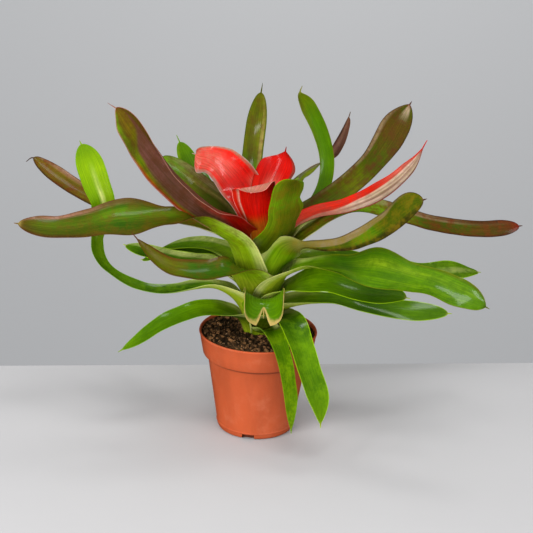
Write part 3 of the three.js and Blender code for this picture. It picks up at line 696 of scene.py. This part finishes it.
VEIN_COUNT = 14.0  # across a blade
VEIN_SHADE = (0.58, 0.66, 0.48, 1)
CLOUD_SHADE = (0.78, 0.82, 0.7, 1)
MARGIN_LINE = 1.1  # width of the line along a leaf's margins, fading from MARGIN_FULL
MARGIN_FULL = 0.2
MARGIN_STRENGTH = 0.75
MARGIN_STRAY = 0.8  # how far the line's inner edge wanders
VEIN_ROUGHNESS = 0.12  # that the veins add
RIB_HEIGHT = 0.6  # where a leaf's ripples are 1
LEAF_RELIEF = 1.1


def leaf_material(name, surface, roughness, coat):
    """One side of a leaf. Its broad colours come from the blade's attributes, and the shader adds veins,
    blotches and the fine line along the margins."""
    material, n, shader = new_material(name)
    tone = n.colour(surface)
    patch = n.add("ShaderNodeAttribute", attribute_name="patch").outputs
    veins = n.group(VEINS, Across=n.value("across"), Along=n.value("along"), Count=VEIN_COUNT)
    blotch = n.group(BLOTCHES, Scale=95.0, Cover=0.5)["Mask"]
    cloud = n.step(n.noise(n.place(), scale=38.0, detail=3.0, roughness=0.55), 0.3, 0.7)
    clouded = n.mix(cloud, n.mix(1.0, tone, CLOUD_SHADE, "MULTIPLY"), tone)
    shaded = n.mix(veins["Streak"], clouded, n.mix(1.0, clouded, VEIN_SHADE, "MULTIPLY"))
    patched = n.mix(n.times(blotch, patch["Alpha"]), shaded, patch["Color"])
    stray = n.times(n.math("SUBTRACT", n.noise(n.place(), scale=300.0), 0.5), MARGIN_STRAY * MM)
    line = n.step(n.plus(n.value("edge"), stray), MARGIN_LINE * MM, MARGIN_FULL * MM)
    rimmed = n.mix(n.times(line, MARGIN_STRENGTH), patched, n.colour("margin"))
    n.put(shader["Base Color"], rimmed)
    n.put(shader["Roughness"], n.plus(roughness, n.times(veins["Streak"], VEIN_ROUGHNESS)))
    ripple = n.noise(n.place(), scale=75.0)
    height = n.plus(n.times(veins["Rib"], RIB_HEIGHT), ripple)
    n.put(shader["Normal"], n.bump(height, distance=LEAF_RELIEF * MM, strength=0.55))
    shader["Coat Weight"].default_value = coat
    shader["Coat Roughness"].default_value = 0.13
    shader["Specular IOR Level"].default_value = 0.08
    shader["Subsurface Weight"].default_value = 0.15
    shader["Subsurface Radius"].default_value = (0.6, 1.0, 0.2)
    shader["Subsurface Scale"].default_value = 0.001
    return material


# Each kind of leaf: of its upper side and of its underside.
LEAF_LOOKS = {
    "green": dict(roughness=(0.34, 0.4), coat=(0.28, 0.1)),
    "bronze": dict(roughness=(0.42, 0.46), coat=(0.13, 0.07)),
    "red": dict(roughness=(0.3, 0.34), coat=(0.25, 0.2)),
}


def leaf_materials(kind):
    look = LEAF_LOOKS[kind]
    return [
        leaf_material(f"{kind}_leaf_{surface}", surface, look["roughness"][i], look["coat"][i])
        for i, surface in enumerate(("upper", "under"))
    ]


POT_COLOUR = Vector((0.455, 0.08, 0.023))
POT_DUST = Vector((0.64, 0.2, 0.1))
# the dark colour of the painted shade under the collar and in the drain notches
POT_PAINTED_SHADE = Vector((0.08, 0.02, 0.01))
FLOW_SHADE = 0.86
DUST_STRENGTH = 0.25
POT_ROUGHNESS = 0.4
DUST_ROUGHNESS = 0.12
POT_GRAIN = 0.1
# Painted shade: the pot's colour darkens under the collar and inside the drain notches, where shadow falls.
SHADE_REACH = 4.2  # painted shade: how far below the collar the darkening starts, and where it is full
SHADE_FULL = 2.4
SHADE_EDGE = 0.4  # over which the painted shade ends at an edge
SHADE_INSET = 1.0  # how far inside the drain notches the painted shade is full
SHADE_UNDER_COLLAR = 0.6  # how strong the painted shade is under the collar
SHADE_IN_DRAINS = 0.95


def pot_material():
    """Moulded plastic in terracotta colour, with faint flow marks, dust and fine scuffs, and painted shade
    under the collar and inside the drain notches.
    """
    material, n, shader = new_material("pot_plastic")
    stretched = n.add("ShaderNodeMapping")
    n.put(stretched.inputs["Vector"], n.place())
    stretched.inputs["Scale"].default_value = (1.0, 1.0, 0.25)
    flow = n.noise(stretched.outputs[0], scale=45.0, detail=4.0, roughness=0.6)
    base = n.mix(n.step(flow, 0.35, 0.7), (*POT_COLOUR, 1), (*(POT_COLOUR * FLOW_SHADE), 1))
    dust = n.group(BLOTCHES, Scale=35.0, Cover=0.35)["Mask"]
    dusty = n.mix(n.times(dust, DUST_STRENGTH), base, (*POT_DUST, 1))
    place = n.add("ShaderNodeSeparateXYZ")
    n.put(place.inputs[0], n.place())
    z = place.outputs["Z"]
    length = n.add("ShaderNodeVectorMath", operation="LENGTH")
    n.put(length.inputs[0], n.flat(place.outputs["X"], place.outputs["Y"]))
    radius = length.outputs["Value"]
    shoulder = POT_HEIGHT - COLLAR_HEIGHT
    # Painted shade under the collar's overhang, and low down inside the drain notches.
    rising = n.step(z, (shoulder - SHADE_REACH) * MM, (shoulder - SHADE_FULL) * MM)
    under = n.times(rising, n.step(z, (shoulder + SHADE_EDGE) * MM, shoulder * MM))
    low = n.step(z, (DRAIN_HEIGHT + SHADE_EDGE) * MM, DRAIN_HEIGHT * MM)
    drain = n.times(low, n.step(radius, (POT_FOOT - SHADE_EDGE) * MM, (POT_FOOT - SHADE_INSET) * MM))
    painted_shade = n.math("MAXIMUM", n.times(under, SHADE_UNDER_COLLAR), n.times(drain, SHADE_IN_DRAINS))
    n.put(shader["Base Color"], n.mix(painted_shade, dusty, (*POT_PAINTED_SHADE, 1)))
    n.put(shader["Roughness"], n.plus(POT_ROUGHNESS, n.times(dust, DUST_ROUGHNESS)))
    grain = n.noise(n.place(), scale=1800.0, roughness=0.6)
    n.put(shader["Normal"], n.bump(grain, distance=POT_GRAIN * MM, strength=0.35))
    shader["Specular IOR Level"].default_value = 0.45
    shader["Subsurface Weight"].default_value = 0.05
    shader["Subsurface Scale"].default_value = 0.002
    return material


GRAIN_SHADE = 0.35
FINE_GRAIN = 2.5  # how much finer than the colours the relief is
SOIL_RELIEF = 1.2


def soil_material(name, dark, light, scale):
    """Peat: from dark to light by the mesh's own tone, broken up by a grain."""
    material, n, shader = new_material(name)
    grain = n.step(n.noise(n.place(), scale, detail=5.0, roughness=0.7), 0.3, 0.72)
    light_share = n.times(n.value("tone"), n.plus(GRAIN_SHADE, n.times(grain, 1 - GRAIN_SHADE)))
    n.put(shader["Base Color"], n.mix(light_share, (*dark, 1), (*light, 1)))
    relief = n.noise(n.place(), scale * FINE_GRAIN, detail=5.0, roughness=0.8)
    n.put(shader["Normal"], n.bump(relief, distance=SOIL_RELIEF * MM))
    shader["Roughness"].default_value = 0.9
    shader["Specular IOR Level"].default_value = 0.25
    return material


def matt_material(name, tint, shade):
    """A matt surface, a little cloudy, from its tint to a shade of it."""
    material, n, shader = new_material(name)
    cloud = n.noise(n.place(), scale=7.0, detail=3.0, roughness=0.6)
    n.put(shader["Base Color"], n.mix(cloud, (*tint, 1), (*(tint * shade), 1)))
    shader["Roughness"].default_value = 0.8
    shader["Specular IOR Level"].default_value = 0.2
    return material


# ---------------- a leaf


def stem_radius(z):
    return mix(STEM_FOOT_RADIUS, STEM_TOP_RADIUS, (z - STEM_FOOT) / (STEM_TOP - STEM_FOOT))


def leaf_points(leaf):
    """The middle line's points: from the leaf's seat, up along the stem, then through its path."""
    azimuth = math.atan2(leaf["path"][0][1], leaf["path"][0][0])
    root = stem_radius(leaf["seat"]) + LEAF_GAP + SHEATH_CLEARANCE
    start = [(root, leaf["seat"]), (root + SHEATH_FLARE, leaf["seat"] + SHEATH_RISE)]
    out = [Vector((r * math.cos(azimuth), r * math.sin(azimuth), z)) for r, z in start]
    return out + [Vector(point) for point in leaf["path"]]


def curve_point(points, u):
    """A point of the centripetal Catmull-Rom curve through the points, u from 0 to 1."""
    at = clamp(u) * (len(points) - 1)
    i = min(int(at), len(points) - 2)
    w = at - i
    p1, p2 = points[i], points[i + 1]
    p0 = points[i - 1] if i > 0 else p1 * 2 - p2
    p3 = points[i + 2] if i + 2 < len(points) else p2 * 2 - p1
    d0, d1, d2 = [(b - a).length ** 0.5 for a, b in ((p0, p1), (p1, p2), (p2, p3))]
    m1 = ((p1 - p0) / d0 - (p2 - p0) / (d0 + d1) + (p2 - p1) / d1) * d1
    m2 = ((p2 - p1) / d1 - (p3 - p1) / (d1 + d2) + (p3 - p2) / d2) * d1
    a = p1 * 2 - p2 * 2 + m1 + m2
    b = p2 * 3 - p1 * 3 - m1 * 2 - m2
    return ((a * w + b) * w + m1) * w + p1


class Course:
    """A leaf's middle line, read by the distance along it."""

    PARTS = 400

    def __init__(self, points):
        self.places = [curve_point(points, i / self.PARTS) for i in range(self.PARTS + 1)]
        self.lengths = [0.0]
        for a, b in zip(self.places, self.places[1:]):
            self.lengths.append(self.lengths[-1] + (b - a).length)
        self.length = self.lengths[-1]

    def at(self, s):
        s = clamp(s, 0.0, self.length)
        i = min(bisect.bisect_right(self.lengths, s), self.PARTS) - 1
        share = (s - self.lengths[i]) / (self.lengths[i + 1] - self.lengths[i])
        return self.places[i].lerp(self.places[i + 1], share)

    def along(self, s):
        reach = 1.5
        return (self.at(s + reach) - self.at(s - reach)).normalized()


def leaf_rows(leaf, length):
    """Distances along the leaf of its mesh's rows: even on the blade, closer where the tip rounds off."""
    tip, spike = leaf["tip"], leaf["spike"]
    body = length - tip - spike
    count = round(body / ROW_LENGTH)
    rows = [body * i / count for i in range(count)]
    rows += [body + tip * math.sin(math.pi / 2 * i / TIP_ROWS) for i in range(TIP_ROWS)]
    rows += [length - spike + spike * i / SPIKE_ROWS for i in range(SPIKE_ROWS + 1)]
    return rows


def leaf_width(leaf, s, length):
    """Width at a distance along the leaf: it rounds off to the hard point at its end."""
    left = clamp((length - leaf["spike"] - s) / leaf["tip"])
    blade = spread(leaf["width"], s / length) * (1 - (1 - left) ** 2) ** leaf["point"]
    return max(blade, SPIKE_WIDTH * clamp((length - s) / leaf["spike"] + SPIKE_END))


def leaf_frames(leaf):
    """For each row: its place, its side (towards the left margin), its face (out of the upper surface), its
    width and its distance along the leaf. Then the leaf's length."""
    course = Course(leaf_points(leaf))
    side = Vector((-leaf["path"][0][1], leaf["path"][0][0], 0))
    frames = []
    for s in leaf_rows(leaf, course.length):
        along = course.along(s)
        side = (side - along * side.dot(along)).normalized()
        face = along.cross(side)
        roll = math.radians(spread(leaf["roll"], s / course.length))
        frames.append(
            dict(
                at=course.at(s),
                side=side * math.cos(roll) + face * math.sin(roll),
                face=face * math.cos(roll) - side * math.sin(roll),
                along=along,
                end=course.length - leaf["spike"],
                width=leaf_width(leaf, s, course.length),
                s=s,
                t=s / course.length,
            )
        )
    return frames, course.length


def past_sheath(s):
    """0 on a leaf's sheath, 1 on its free blade."""
    return smooth((s - SHEATH_LENGTH / 2) / SHEATH_LENGTH)


def leaf_section(leaf, row, seed):
    """Points across the leaf at a row, from the right margin to the left one."""
    cup = math.radians(mix(SHEATH_CUP, spread(leaf["cup"], row["t"]), smooth(row["s"] / SHEATH_LENGTH)))
    half = ACROSS // 2
    height, waves = leaf["ruffle"]
    points = [None] * (ACROSS + 1)
    ease = past_sheath(row["s"])
    fade = min(1.0, row["width"] / RUFFLE_FULL)
    lobe = leaf["lobes"] * fade * smooth((row["s"] - row["end"]) / LOBE_LENGTH + 1)
    for sign, margin in ((-1, "right"), (1, "left")):
        x = y = 0.0
        strip = row["width"] / ACROSS * spread(leaf[margin], row["t"])
        for j in range(half + 1):
            if j:
                slope = cup * ((j - 0.5) / half) ** leaf["fold"]
                x += strip * math.cos(slope) * sign
                y += strip * math.sin(slope)
            share = j / half
            lag = 0 if sign > 0 else RUFFLE_LAG
            wave = height * math.sin(2 * math.pi * waves * row["t"] + lag)
            stray = Vector((row["s"] * WANDER_PITCH, seed * LEAF_APART, sign * MARGIN_APART))
            wave += MARGIN_WANDER * noise.noise(stray)
            place = row["at"] + row["side"] * x + row["face"] * (y + ease * wave * fade * share * share)
            points[half + sign * j] = place + row["along"] * (lobe * share ** LOBE_CURVE)
    return points


def edge_at(edge, t):
    """A band's edge: one number, or a list that is spread along the leaf."""
    return spread(edge, t) if isinstance(edge, list) else edge


def sheath_share(t):
    """1 on the sheath, fading to 0 along the blade."""
    return 1 - smooth((t - SHEATH_END) / SHEATH_TONE)


def leaf_tone(finish, surface, t, s, length, across):
    """Colour of one surface of a leaf at a place: its own run of colours, then its bands and its tip."""
    tone = spread([colour(name) for name in finish[surface].split()], t)
    for of, low, high, soft, name, strengths in finish["bands"]:
        if of == surface:
            above = smooth((across - edge_at(low, t)) / soft + 0.5)
            below = smooth((edge_at(high, t) - across) / soft + 0.5)
            tone = mix(tone, colour(name), above * below * spread(strengths, t))
    sides, middle = finish["sheath"]
    heart = (1 - smooth((t - HEART_END) / HEART_TONE)) * (1 - smooth(abs(across) / HEART_FADE))
    tone = mix(tone, colour(middle), heart * HEART_STRENGTH)
    side = sheath_share(t) * smooth((abs(across) - SIDES_START) / SIDES_FADE)
    tone = mix(tone, colour(sides), side * SIDES_STRENGTH)
    if finish["tip"]:
        name, reach = finish["tip"]
        tone = mix(tone, colour(name), smooth((s - length + reach * DRYING) / reach))
    return tone


COLOUR_LAYERS = ("upper", "under", "margin", "patch")
NUMBER_LAYERS = ("across", "along", "edge")


def paint_leaf(mesh, finish, shares, rows, length, seed):
    """Gives the flat grid's points the attributes that the leaf's materials read."""
    for name in COLOUR_LAYERS:
        mesh.attributes.new(name, "FLOAT_COLOR", "POINT")
    for name in NUMBER_LAYERS:
        mesh.attributes.new(name, "FLOAT", "POINT")
    data = {name: mesh.attributes[name].data for name in COLOUR_LAYERS + NUMBER_LAYERS}
    patch, strength = finish["patch"]
    for point, (across, k) in enumerate(shares):
        row = rows[k]
        for surface in ("upper", "under"):
            tone = leaf_tone(finish, surface, row["t"], row["s"], length, across)
            data[surface][point].color = (*tone, 1)
        margin = mix(colour(finish["margin"]), colour(finish["sheath"][0]), sheath_share(row["t"]))
        data["margin"][point].color = (*margin, 1)
        data["patch"][point].color = (*colour(patch), strength * past_sheath(row["s"]))
        data["across"][point].value = across
        data["along"][point].value = row["s"] * MM + seed
        data["edge"][point].value = (1 - abs(across)) * row["width"] / 2 * MM


def make_leaf(leaf, seed, materials):
    """A strip of grid, bent and channelled along the leaf's middle line, then given its thickness."""
    leaf = {**PLAIN_LEAF, **leaf}
    finish = {**PLAIN_FINISH, **FINISH[leaf["name"]]}
    rows, length = leaf_frames(leaf)
    start_piece()
    bpy.ops.mesh.primitive_grid_add(x_subdivisions=ACROSS, y_subdivisions=len(rows) - 1, size=2)
    piece = bpy.context.object
    mesh = piece.data
    sections = [leaf_section(leaf, row, seed) for row in rows]
    shares = []
    thin = piece.vertex_groups.new(name="blade")
    for vertex in mesh.vertices:
        column = round((1 - vertex.co.x) / 2 * ACROSS)
        k = round((vertex.co.y + 1) / 2 * (len(rows) - 1))
        across = column / ACROSS * 2 - 1
        shares.append((across, k))
        vertex.co = sections[k][column] * MM
        thin.add([vertex.index], 1 - (1 - MARGIN_THINNING) * abs(across) ** THINNING_CURVE, "REPLACE")
    paint_leaf(mesh, finish, shares, rows, length, seed)
    wall = piece.modifiers.new("thickness", "SOLIDIFY")
    wall.thickness = LEAF_THICKNESS * MM
    wall.offset = 0
    wall.vertex_group = "blade"
    wall.material_offset = 1
    dress(piece, *materials)
    apply_modifiers(piece)
    bpy.ops.object.shade_smooth_by_angle(angle=math.radians(60))
    keep_piece(piece, leaf["name"] + "_blade", leaf["kind"] + "_leaf", leaf["name"])


# ---------------- the pot, the peat and the stem


def extrude_to(ring, previous):
    """Pulls the disc on by hand: extrudes it, lifts it to the next ring and scales it to its radius."""
    share = ring[0] / previous[0]
    bpy.ops.mesh.extrude_region_move(TRANSFORM_OT_translate={"value": (0, 0, (ring[1] - previous[1]) * MM)})
    bpy.ops.transform.resize(value=(share, share, 1), center_override=(0, 0, ring[1] * MM))


def body_radius(z):
    """The outside of the pot below its collar."""
    return mix(POT_FOOT, POT_SHOULDER, z / (POT_HEIGHT - COLLAR_HEIGHT))


def pot_outline():
    """Radius and height of the pot's rings: up the outside, over the rim and down inside to the floor."""
    shoulder = POT_HEIGHT - COLLAR_HEIGHT
    low, high = RING_LEVEL - RING_HEIGHT / 2, RING_LEVEL + RING_HEIGHT / 2
    outside = [
        (body_radius(0) - FOOT_ROUNDING, 0),
        (body_radius(0) - FOOT_ROUNDING / 4, FOOT_ROUNDING / 4),
        (body_radius(FOOT_ROUNDING), FOOT_ROUNDING),
        (body_radius(low), low),
        (body_radius(RING_LEVEL) + RING_DEPTH, RING_LEVEL),
        (body_radius(high), high),
        (body_radius(shoulder / 2), shoulder / 2),
        (POT_SHOULDER, shoulder - COLLAR_ROUNDING),
        (COLLAR_FOOT - COLLAR_ROUNDING / 2, shoulder),
        (COLLAR_FOOT, shoulder + COLLAR_ROUNDING),
        (mix(COLLAR_FOOT, POT_RIM, 0.5) - COLLAR_HOLLOW, shoulder + COLLAR_HEIGHT / 2),
        (POT_RIM - POT_LIP / 2, POT_HEIGHT - 2 * POT_LIP),
        (POT_RIM, POT_HEIGHT - POT_LIP),
        (POT_RIM - POT_LIP / 3, POT_HEIGHT),
    ]
    inside = [
        (POT_RIM - POT_WALL - POT_LIP / 3, POT_HEIGHT),
        (COLLAR_FOOT - POT_WALL, shoulder + POT_WALL + COLLAR_ROUNDING / 2),
        (POT_SHOULDER - POT_WALL, shoulder - COLLAR_ROUNDING / 2),
        (body_radius(POT_FLOOR) - POT_WALL, POT_FLOOR),
    ]
    return outside + inside


def make_pot(material):
    """The pot's disc, pulled up ring by ring over the rim and down inside to its floor, then notched."""
    outline = pot_outline()
    piece = edit_disc(POT_SIDES, outline[0][0])
    for previous, ring in zip(outline, outline[1:]):
        extrude_to(ring, previous)
    end_edit()
    notches = []
    for i in range(DRAIN_COUNT):
        angle = math.radians(DRAIN_ANGLE + 360 / DRAIN_COUNT * i)
        start_piece()
        place = (POT_FOOT * MM * math.cos(angle), POT_FOOT * MM * math.sin(angle), 0)
        bpy.ops.mesh.primitive_cube_add(size=1, location=place, rotation=(0, 0, angle))
        notch = bpy.context.object
        notch.scale = (DRAIN_DEPTH * MM, DRAIN_WIDTH * MM, DRAIN_HEIGHT * 2 * MM)
        notches.append(notch)
        cut = piece.modifiers.new("drain", "BOOLEAN")
        cut.object = notch
        cut.operation = "DIFFERENCE"
    softened = piece.modifiers.new("moulded_edges", "BEVEL")
    softened.width = MOULD_BEVEL * MM
    softened.segments = 2
    softened.angle_limit = math.radians(28)
    bpy.context.view_layer.update()
    apply_modifiers(piece)
    for notch in notches:
        bpy.data.objects.remove(notch)
    start_piece()
    piece.select_set(True)
    bpy.context.view_layer.objects.active = piece
    bpy.ops.object.shade_smooth_by_angle(angle=math.radians(32))
    dress(piece, material)
    keep_piece(piece, "nursery_pot", "pot", "pot")


def give_tones(mesh, tones):
    layer = mesh.attributes.new("tone", "FLOAT", "POINT")
    layer.data.foreach_set("value", tones)


def soil_edge(gap):
    """The peat's radius, less a gap to the pot's wall."""
    return mix(COLLAR_FOOT, POT_RIM, SOIL_SHARE) - POT_WALL - gap


def soil_height(x, y):
    """The heap of peat with its lumps, before its fine crust."""
    r = math.hypot(x, y)
    angle = math.atan2(y, x)
    share = r / POT_RIM
    lumps = sum(math.sin(around * angle + outwards * r + start) for around, outwards, start in SOIL_LUMPS)
    return SOIL_LEVEL + SOIL_MOUND * (1 - share * share) + SOIL_ROUGHNESS * lumps


def make_soil(material):
    """The peat's surface: a disc inset into rings, heaped and roughened, its edge pulled down the wall."""
    edge = soil_edge(gap=0.3)
    piece = edit_disc(SOIL_SIDES, edge)
    for _ in range(SOIL_RINGS):
        bpy.ops.mesh.inset(thickness=edge / (SOIL_RINGS + 1) * MM)
    bpy.ops.mesh.poke()
    bpy.ops.object.mode_set(mode="OBJECT")
    for vertex in piece.data.vertices:
        x, y = vertex.co.x / MM, vertex.co.y / MM
        rough = noise.fractal(Vector((x, y, 0)) * CRUST_PITCH, *CRUST_OCTAVES)
        vertex.co.z = (soil_height(x, y) + SOIL_CRUST * rough) * MM
    bpy.ops.object.mode_set(mode="EDIT")
    bpy.ops.mesh.select_mode(type="EDGE")
    bpy.ops.mesh.select_all(action="DESELECT")
    bpy.ops.mesh.select_non_manifold()
    bpy.ops.mesh.extrude_region_move(TRANSFORM_OT_translate={"value": (0, 0, -SOIL_DEPTH * MM)})
    bpy.ops.transform.resize(value=(SOIL_TAPER, SOIL_TAPER, 1), center_override=(0, 0, 0))
    bpy.ops.mesh.edge_face_add()
    end_edit()
    bpy.ops.object.shade_smooth()
    give_tones(piece.data, [1.0] * len(piece.data.vertices))
    dress(piece, material)
    keep_piece(piece, "peat", "soil", "soil")


CRUMB_FLATNESS = (0.5, 0.9)  # height for its width
CRUMB_TILT = 0.9  # radians, most either way
CRUMB_BEND = 0.6
CRUMB_WOBBLE = 0.5
WOBBLE_PITCH = 3
DARK_SHARE = 2.2  # 1 for as many light crumbs as dark ones, more for more dark ones


def crumb_shape():
    """The corners and faces of one rough crumb."""
    start_piece()
    bpy.ops.mesh.primitive_ico_sphere_add(subdivisions=1, radius=0.5)
    crumb = bpy.context.object
    corners = [vertex.co.copy() for vertex in crumb.data.vertices]
    faces = [tuple(face.vertices) for face in crumb.data.polygons]
    bpy.data.objects.remove(crumb)
    return corners, faces


def make_crumbs(name, count, sizes, stretch, lift, material, seed):
    """Loose bits on the peat: one crumb, copied, each turned, stretched, bent and part sunk its own way."""
    draw = random.Random(seed)
    corners, faces = crumb_shape()
    points, polygons, tones = [], [], []
    reach = soil_edge(gap=1.2)
    for _ in range(count):
        size = draw.uniform(*sizes)
        long = size * draw.uniform(1, stretch)
        r = (reach - long / 2) * math.sqrt(draw.random())
        around = draw.uniform(0, 2 * math.pi)
        x, y = r * math.cos(around), r * math.sin(around)
        shape = Vector((long, size, size * draw.uniform(*CRUMB_FLATNESS)))
        turn = Matrix.Rotation(draw.uniform(0, 2 * math.pi), 3, "Z")
        turn = turn @ Matrix.Rotation(draw.uniform(-CRUMB_TILT, CRUMB_TILT), 3, "Y")
        bend = draw.uniform(-CRUMB_BEND, CRUMB_BEND)
        rise = size * draw.uniform(0, lift)
        base = len(points)
        tones += [draw.random() ** DARK_SHARE] * len(corners)
        for corner in corners:
            wobble = 1 + CRUMB_WOBBLE * noise.noise(corner * WOBBLE_PITCH + Vector((base, 0, 0)))
            local = Vector([corner[i] * shape[i] * wobble for i in range(3)])
            local.y += bend * local.x * local.x / long
            points.append((turn @ local + Vector((x, y, soil_height(x, y) + rise))) * MM)
        polygons += [[base + i for i in face] for face in faces]
    mesh = bpy.data.meshes.new(name)
    mesh.from_pydata(points, [], polygons)
    give_tones(mesh, tones)
    piece = bpy.data.objects.new(name, mesh)
    bpy.context.scene.collection.objects.link(piece)
    dress(piece, material)
    keep_piece(piece, name, "soil")


# ---------------- making the object

PEAT_DARK = Vector((0.014, 0.0085, 0.004))
PEAT_LIGHT = Vector((0.075, 0.041, 0.018))
CRUMB_DARK = Vector((0.016, 0.009, 0.004))
CRUMB_LIGHT = Vector((0.46, 0.22, 0.085))
CHIP_DARK = Vector((0.1, 0.05, 0.022))
CHIP_LIGHT = Vector((0.75, 0.45, 0.24))
STEM_COLOUR = Vector((0.36, 0.42, 0.1))

make_pot(pot_material())
make_soil(soil_material("peat", PEAT_DARK, PEAT_LIGHT, scale=260.0))
crumbs = soil_material("peat_crumbs", CRUMB_DARK, CRUMB_LIGHT, scale=420.0)
chips = soil_material("bark_chips", CHIP_DARK, CHIP_LIGHT, scale=300.0)
make_crumbs("peat_crumbs", count=1700, sizes=(1.0, 4.2), stretch=1.8, lift=0.5, material=crumbs, seed=3)
make_crumbs("bark_chips", count=620, sizes=(0.4, 0.9), stretch=7.0, lift=2.8, material=chips, seed=8)

leaf_sides = {kind: leaf_materials(kind) for kind in LEAF_LOOKS}
for index, leaf in enumerate(LEAVES):
    make_leaf(leaf, index * SEED_STEP, leaf_sides[leaf["kind"]])

dress(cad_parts["stem"], matt_material("stem_flesh", STEM_COLOUR, shade=0.7))

# ---------------- stage, lights and camera

TABLE_COLOUR = Vector((0.475, 0.467, 0.468))
TABLE_EDGE = 0.148  # metres, as all of the stage: how far behind the pot's middle the table ends
TABLE_TURN = -5.4
TABLE_WIDTH = 6.0
TABLE_DEPTH = 1.7
TABLE_DROP = 0.0002  # below the pot's foot
WALL_COLOUR = Vector((0.505, 0.505, 0.507))
WALL_DISTANCE = 3.4
WALL_SIZE = 9.0


def make_sheet(name, shape, tint, shade):
    """A sheet of paper: a metre square, brought to its size and place by a matrix."""
    start_piece()
    bpy.ops.mesh.primitive_plane_add(size=1)
    sheet = bpy.context.object
    sheet.data.transform(shape)
    sheet.name = name
    sheet.visible_glossy = False
    dress(sheet, matt_material(name + "_paper", tint, shade))


def make_stage():
    """A table covered in pale paper, which ends behind the plant, and a paper wall far beyond it."""
    turn = Matrix.Rotation(-math.radians(TABLE_TURN), 4, "Z")
    middle = Matrix.Translation((0, TABLE_EDGE - TABLE_DEPTH / 2, -TABLE_DROP))
    size = Matrix.Diagonal((TABLE_WIDTH, TABLE_DEPTH, 1, 1))
    make_sheet("table", turn @ middle @ size, TABLE_COLOUR, shade=0.95)
    upright = Matrix.Rotation(math.radians(90), 4, "X")
    place = Matrix.Translation((0, WALL_DISTANCE, 0))
    make_sheet("wall", place @ upright @ Matrix.Scale(WALL_SIZE, 4), WALL_COLOUR, shade=1.0)


def add_softbox(name, place, size, power, mirrored=True, aim=VIEW_TARGET):
    """A large soft lamp that looks at the plant's middle. One that isn't mirrored makes no highlights."""
    light = bpy.data.lights.new(name, "AREA")
    light.shape = "RECTANGLE"
    light.size, light.size_y = size
    light.energy = power
    lamp = bpy.data.objects.new(name, light)
    lamp.visible_glossy = mirrored
    lamp.visible_camera = False
    lamp.location = place
    lamp.rotation_euler = (aim - Vector(place)).to_track_quat("-Z", "Y").to_euler()
    bpy.context.scene.collection.objects.link(lamp)


def add_camera():
    down = math.radians(VIEW_DOWN)
    camera_data = bpy.data.cameras.new("view")
    camera_data.lens = LENS
    camera_data.sensor_width = 36
    camera_data.clip_start = 0.05
    camera = bpy.data.objects.new("view", camera_data)
    back = Vector((0, -math.cos(down), math.sin(down)))
    turn = Matrix.Rotation(math.radians(90) - down, 4, "X") @ Matrix.Rotation(math.radians(VIEW_ROLL), 4, "Z")
    camera.matrix_world = Matrix.Translation(VIEW_TARGET + back * VIEW_DISTANCE) @ turn
    bpy.context.scene.collection.objects.link(camera)
    bpy.context.scene.camera = camera


make_stage()
add_softbox("key_left", place=(-1.5, -1.5, 1.2), size=(0.9, 0.9), power=27, mirrored=False)
add_softbox("top", place=(0.3, -0.9, 1.9), size=(0.8, 0.3), power=10)
add_softbox("rim", place=(-0.9, -0.9, 1.6), size=(0.25, 0.4), power=3)
add_softbox("overhead", place=(0.35, 0.25, 1.9), size=(0.45, 0.35), power=5)
add_softbox("front", place=(-1.1, -1.9, 0.85), size=(1.0, 0.7), power=18, mirrored=False)
add_softbox("fill", place=(0.2, -2.1, 0.3), size=(0.9, 0.6), power=15, mirrored=False)
add_softbox("right", place=(1.7, -0.8, 0.9), size=(1.2, 1.2), power=6, mirrored=False)
wall_foot = Vector((0.1, WALL_DISTANCE, 0.1))
add_softbox("backdrop", place=(0.1, 2.0, 0.5), size=(0.8, 0.5), power=4.5, mirrored=False, aim=wall_foot)
add_camera()

world = bpy.data.worlds.new("studio")
bpy.context.scene.world = world
world.use_nodes = True
world.cycles_visibility.glossy = False
sky = world.node_tree.nodes["Background"].inputs
sky["Color"].default_value = (0.95, 0.97, 1.0, 1)
sky["Strength"].default_value = 0.7
bpy.context.scene.view_settings.view_transform = "Standard"
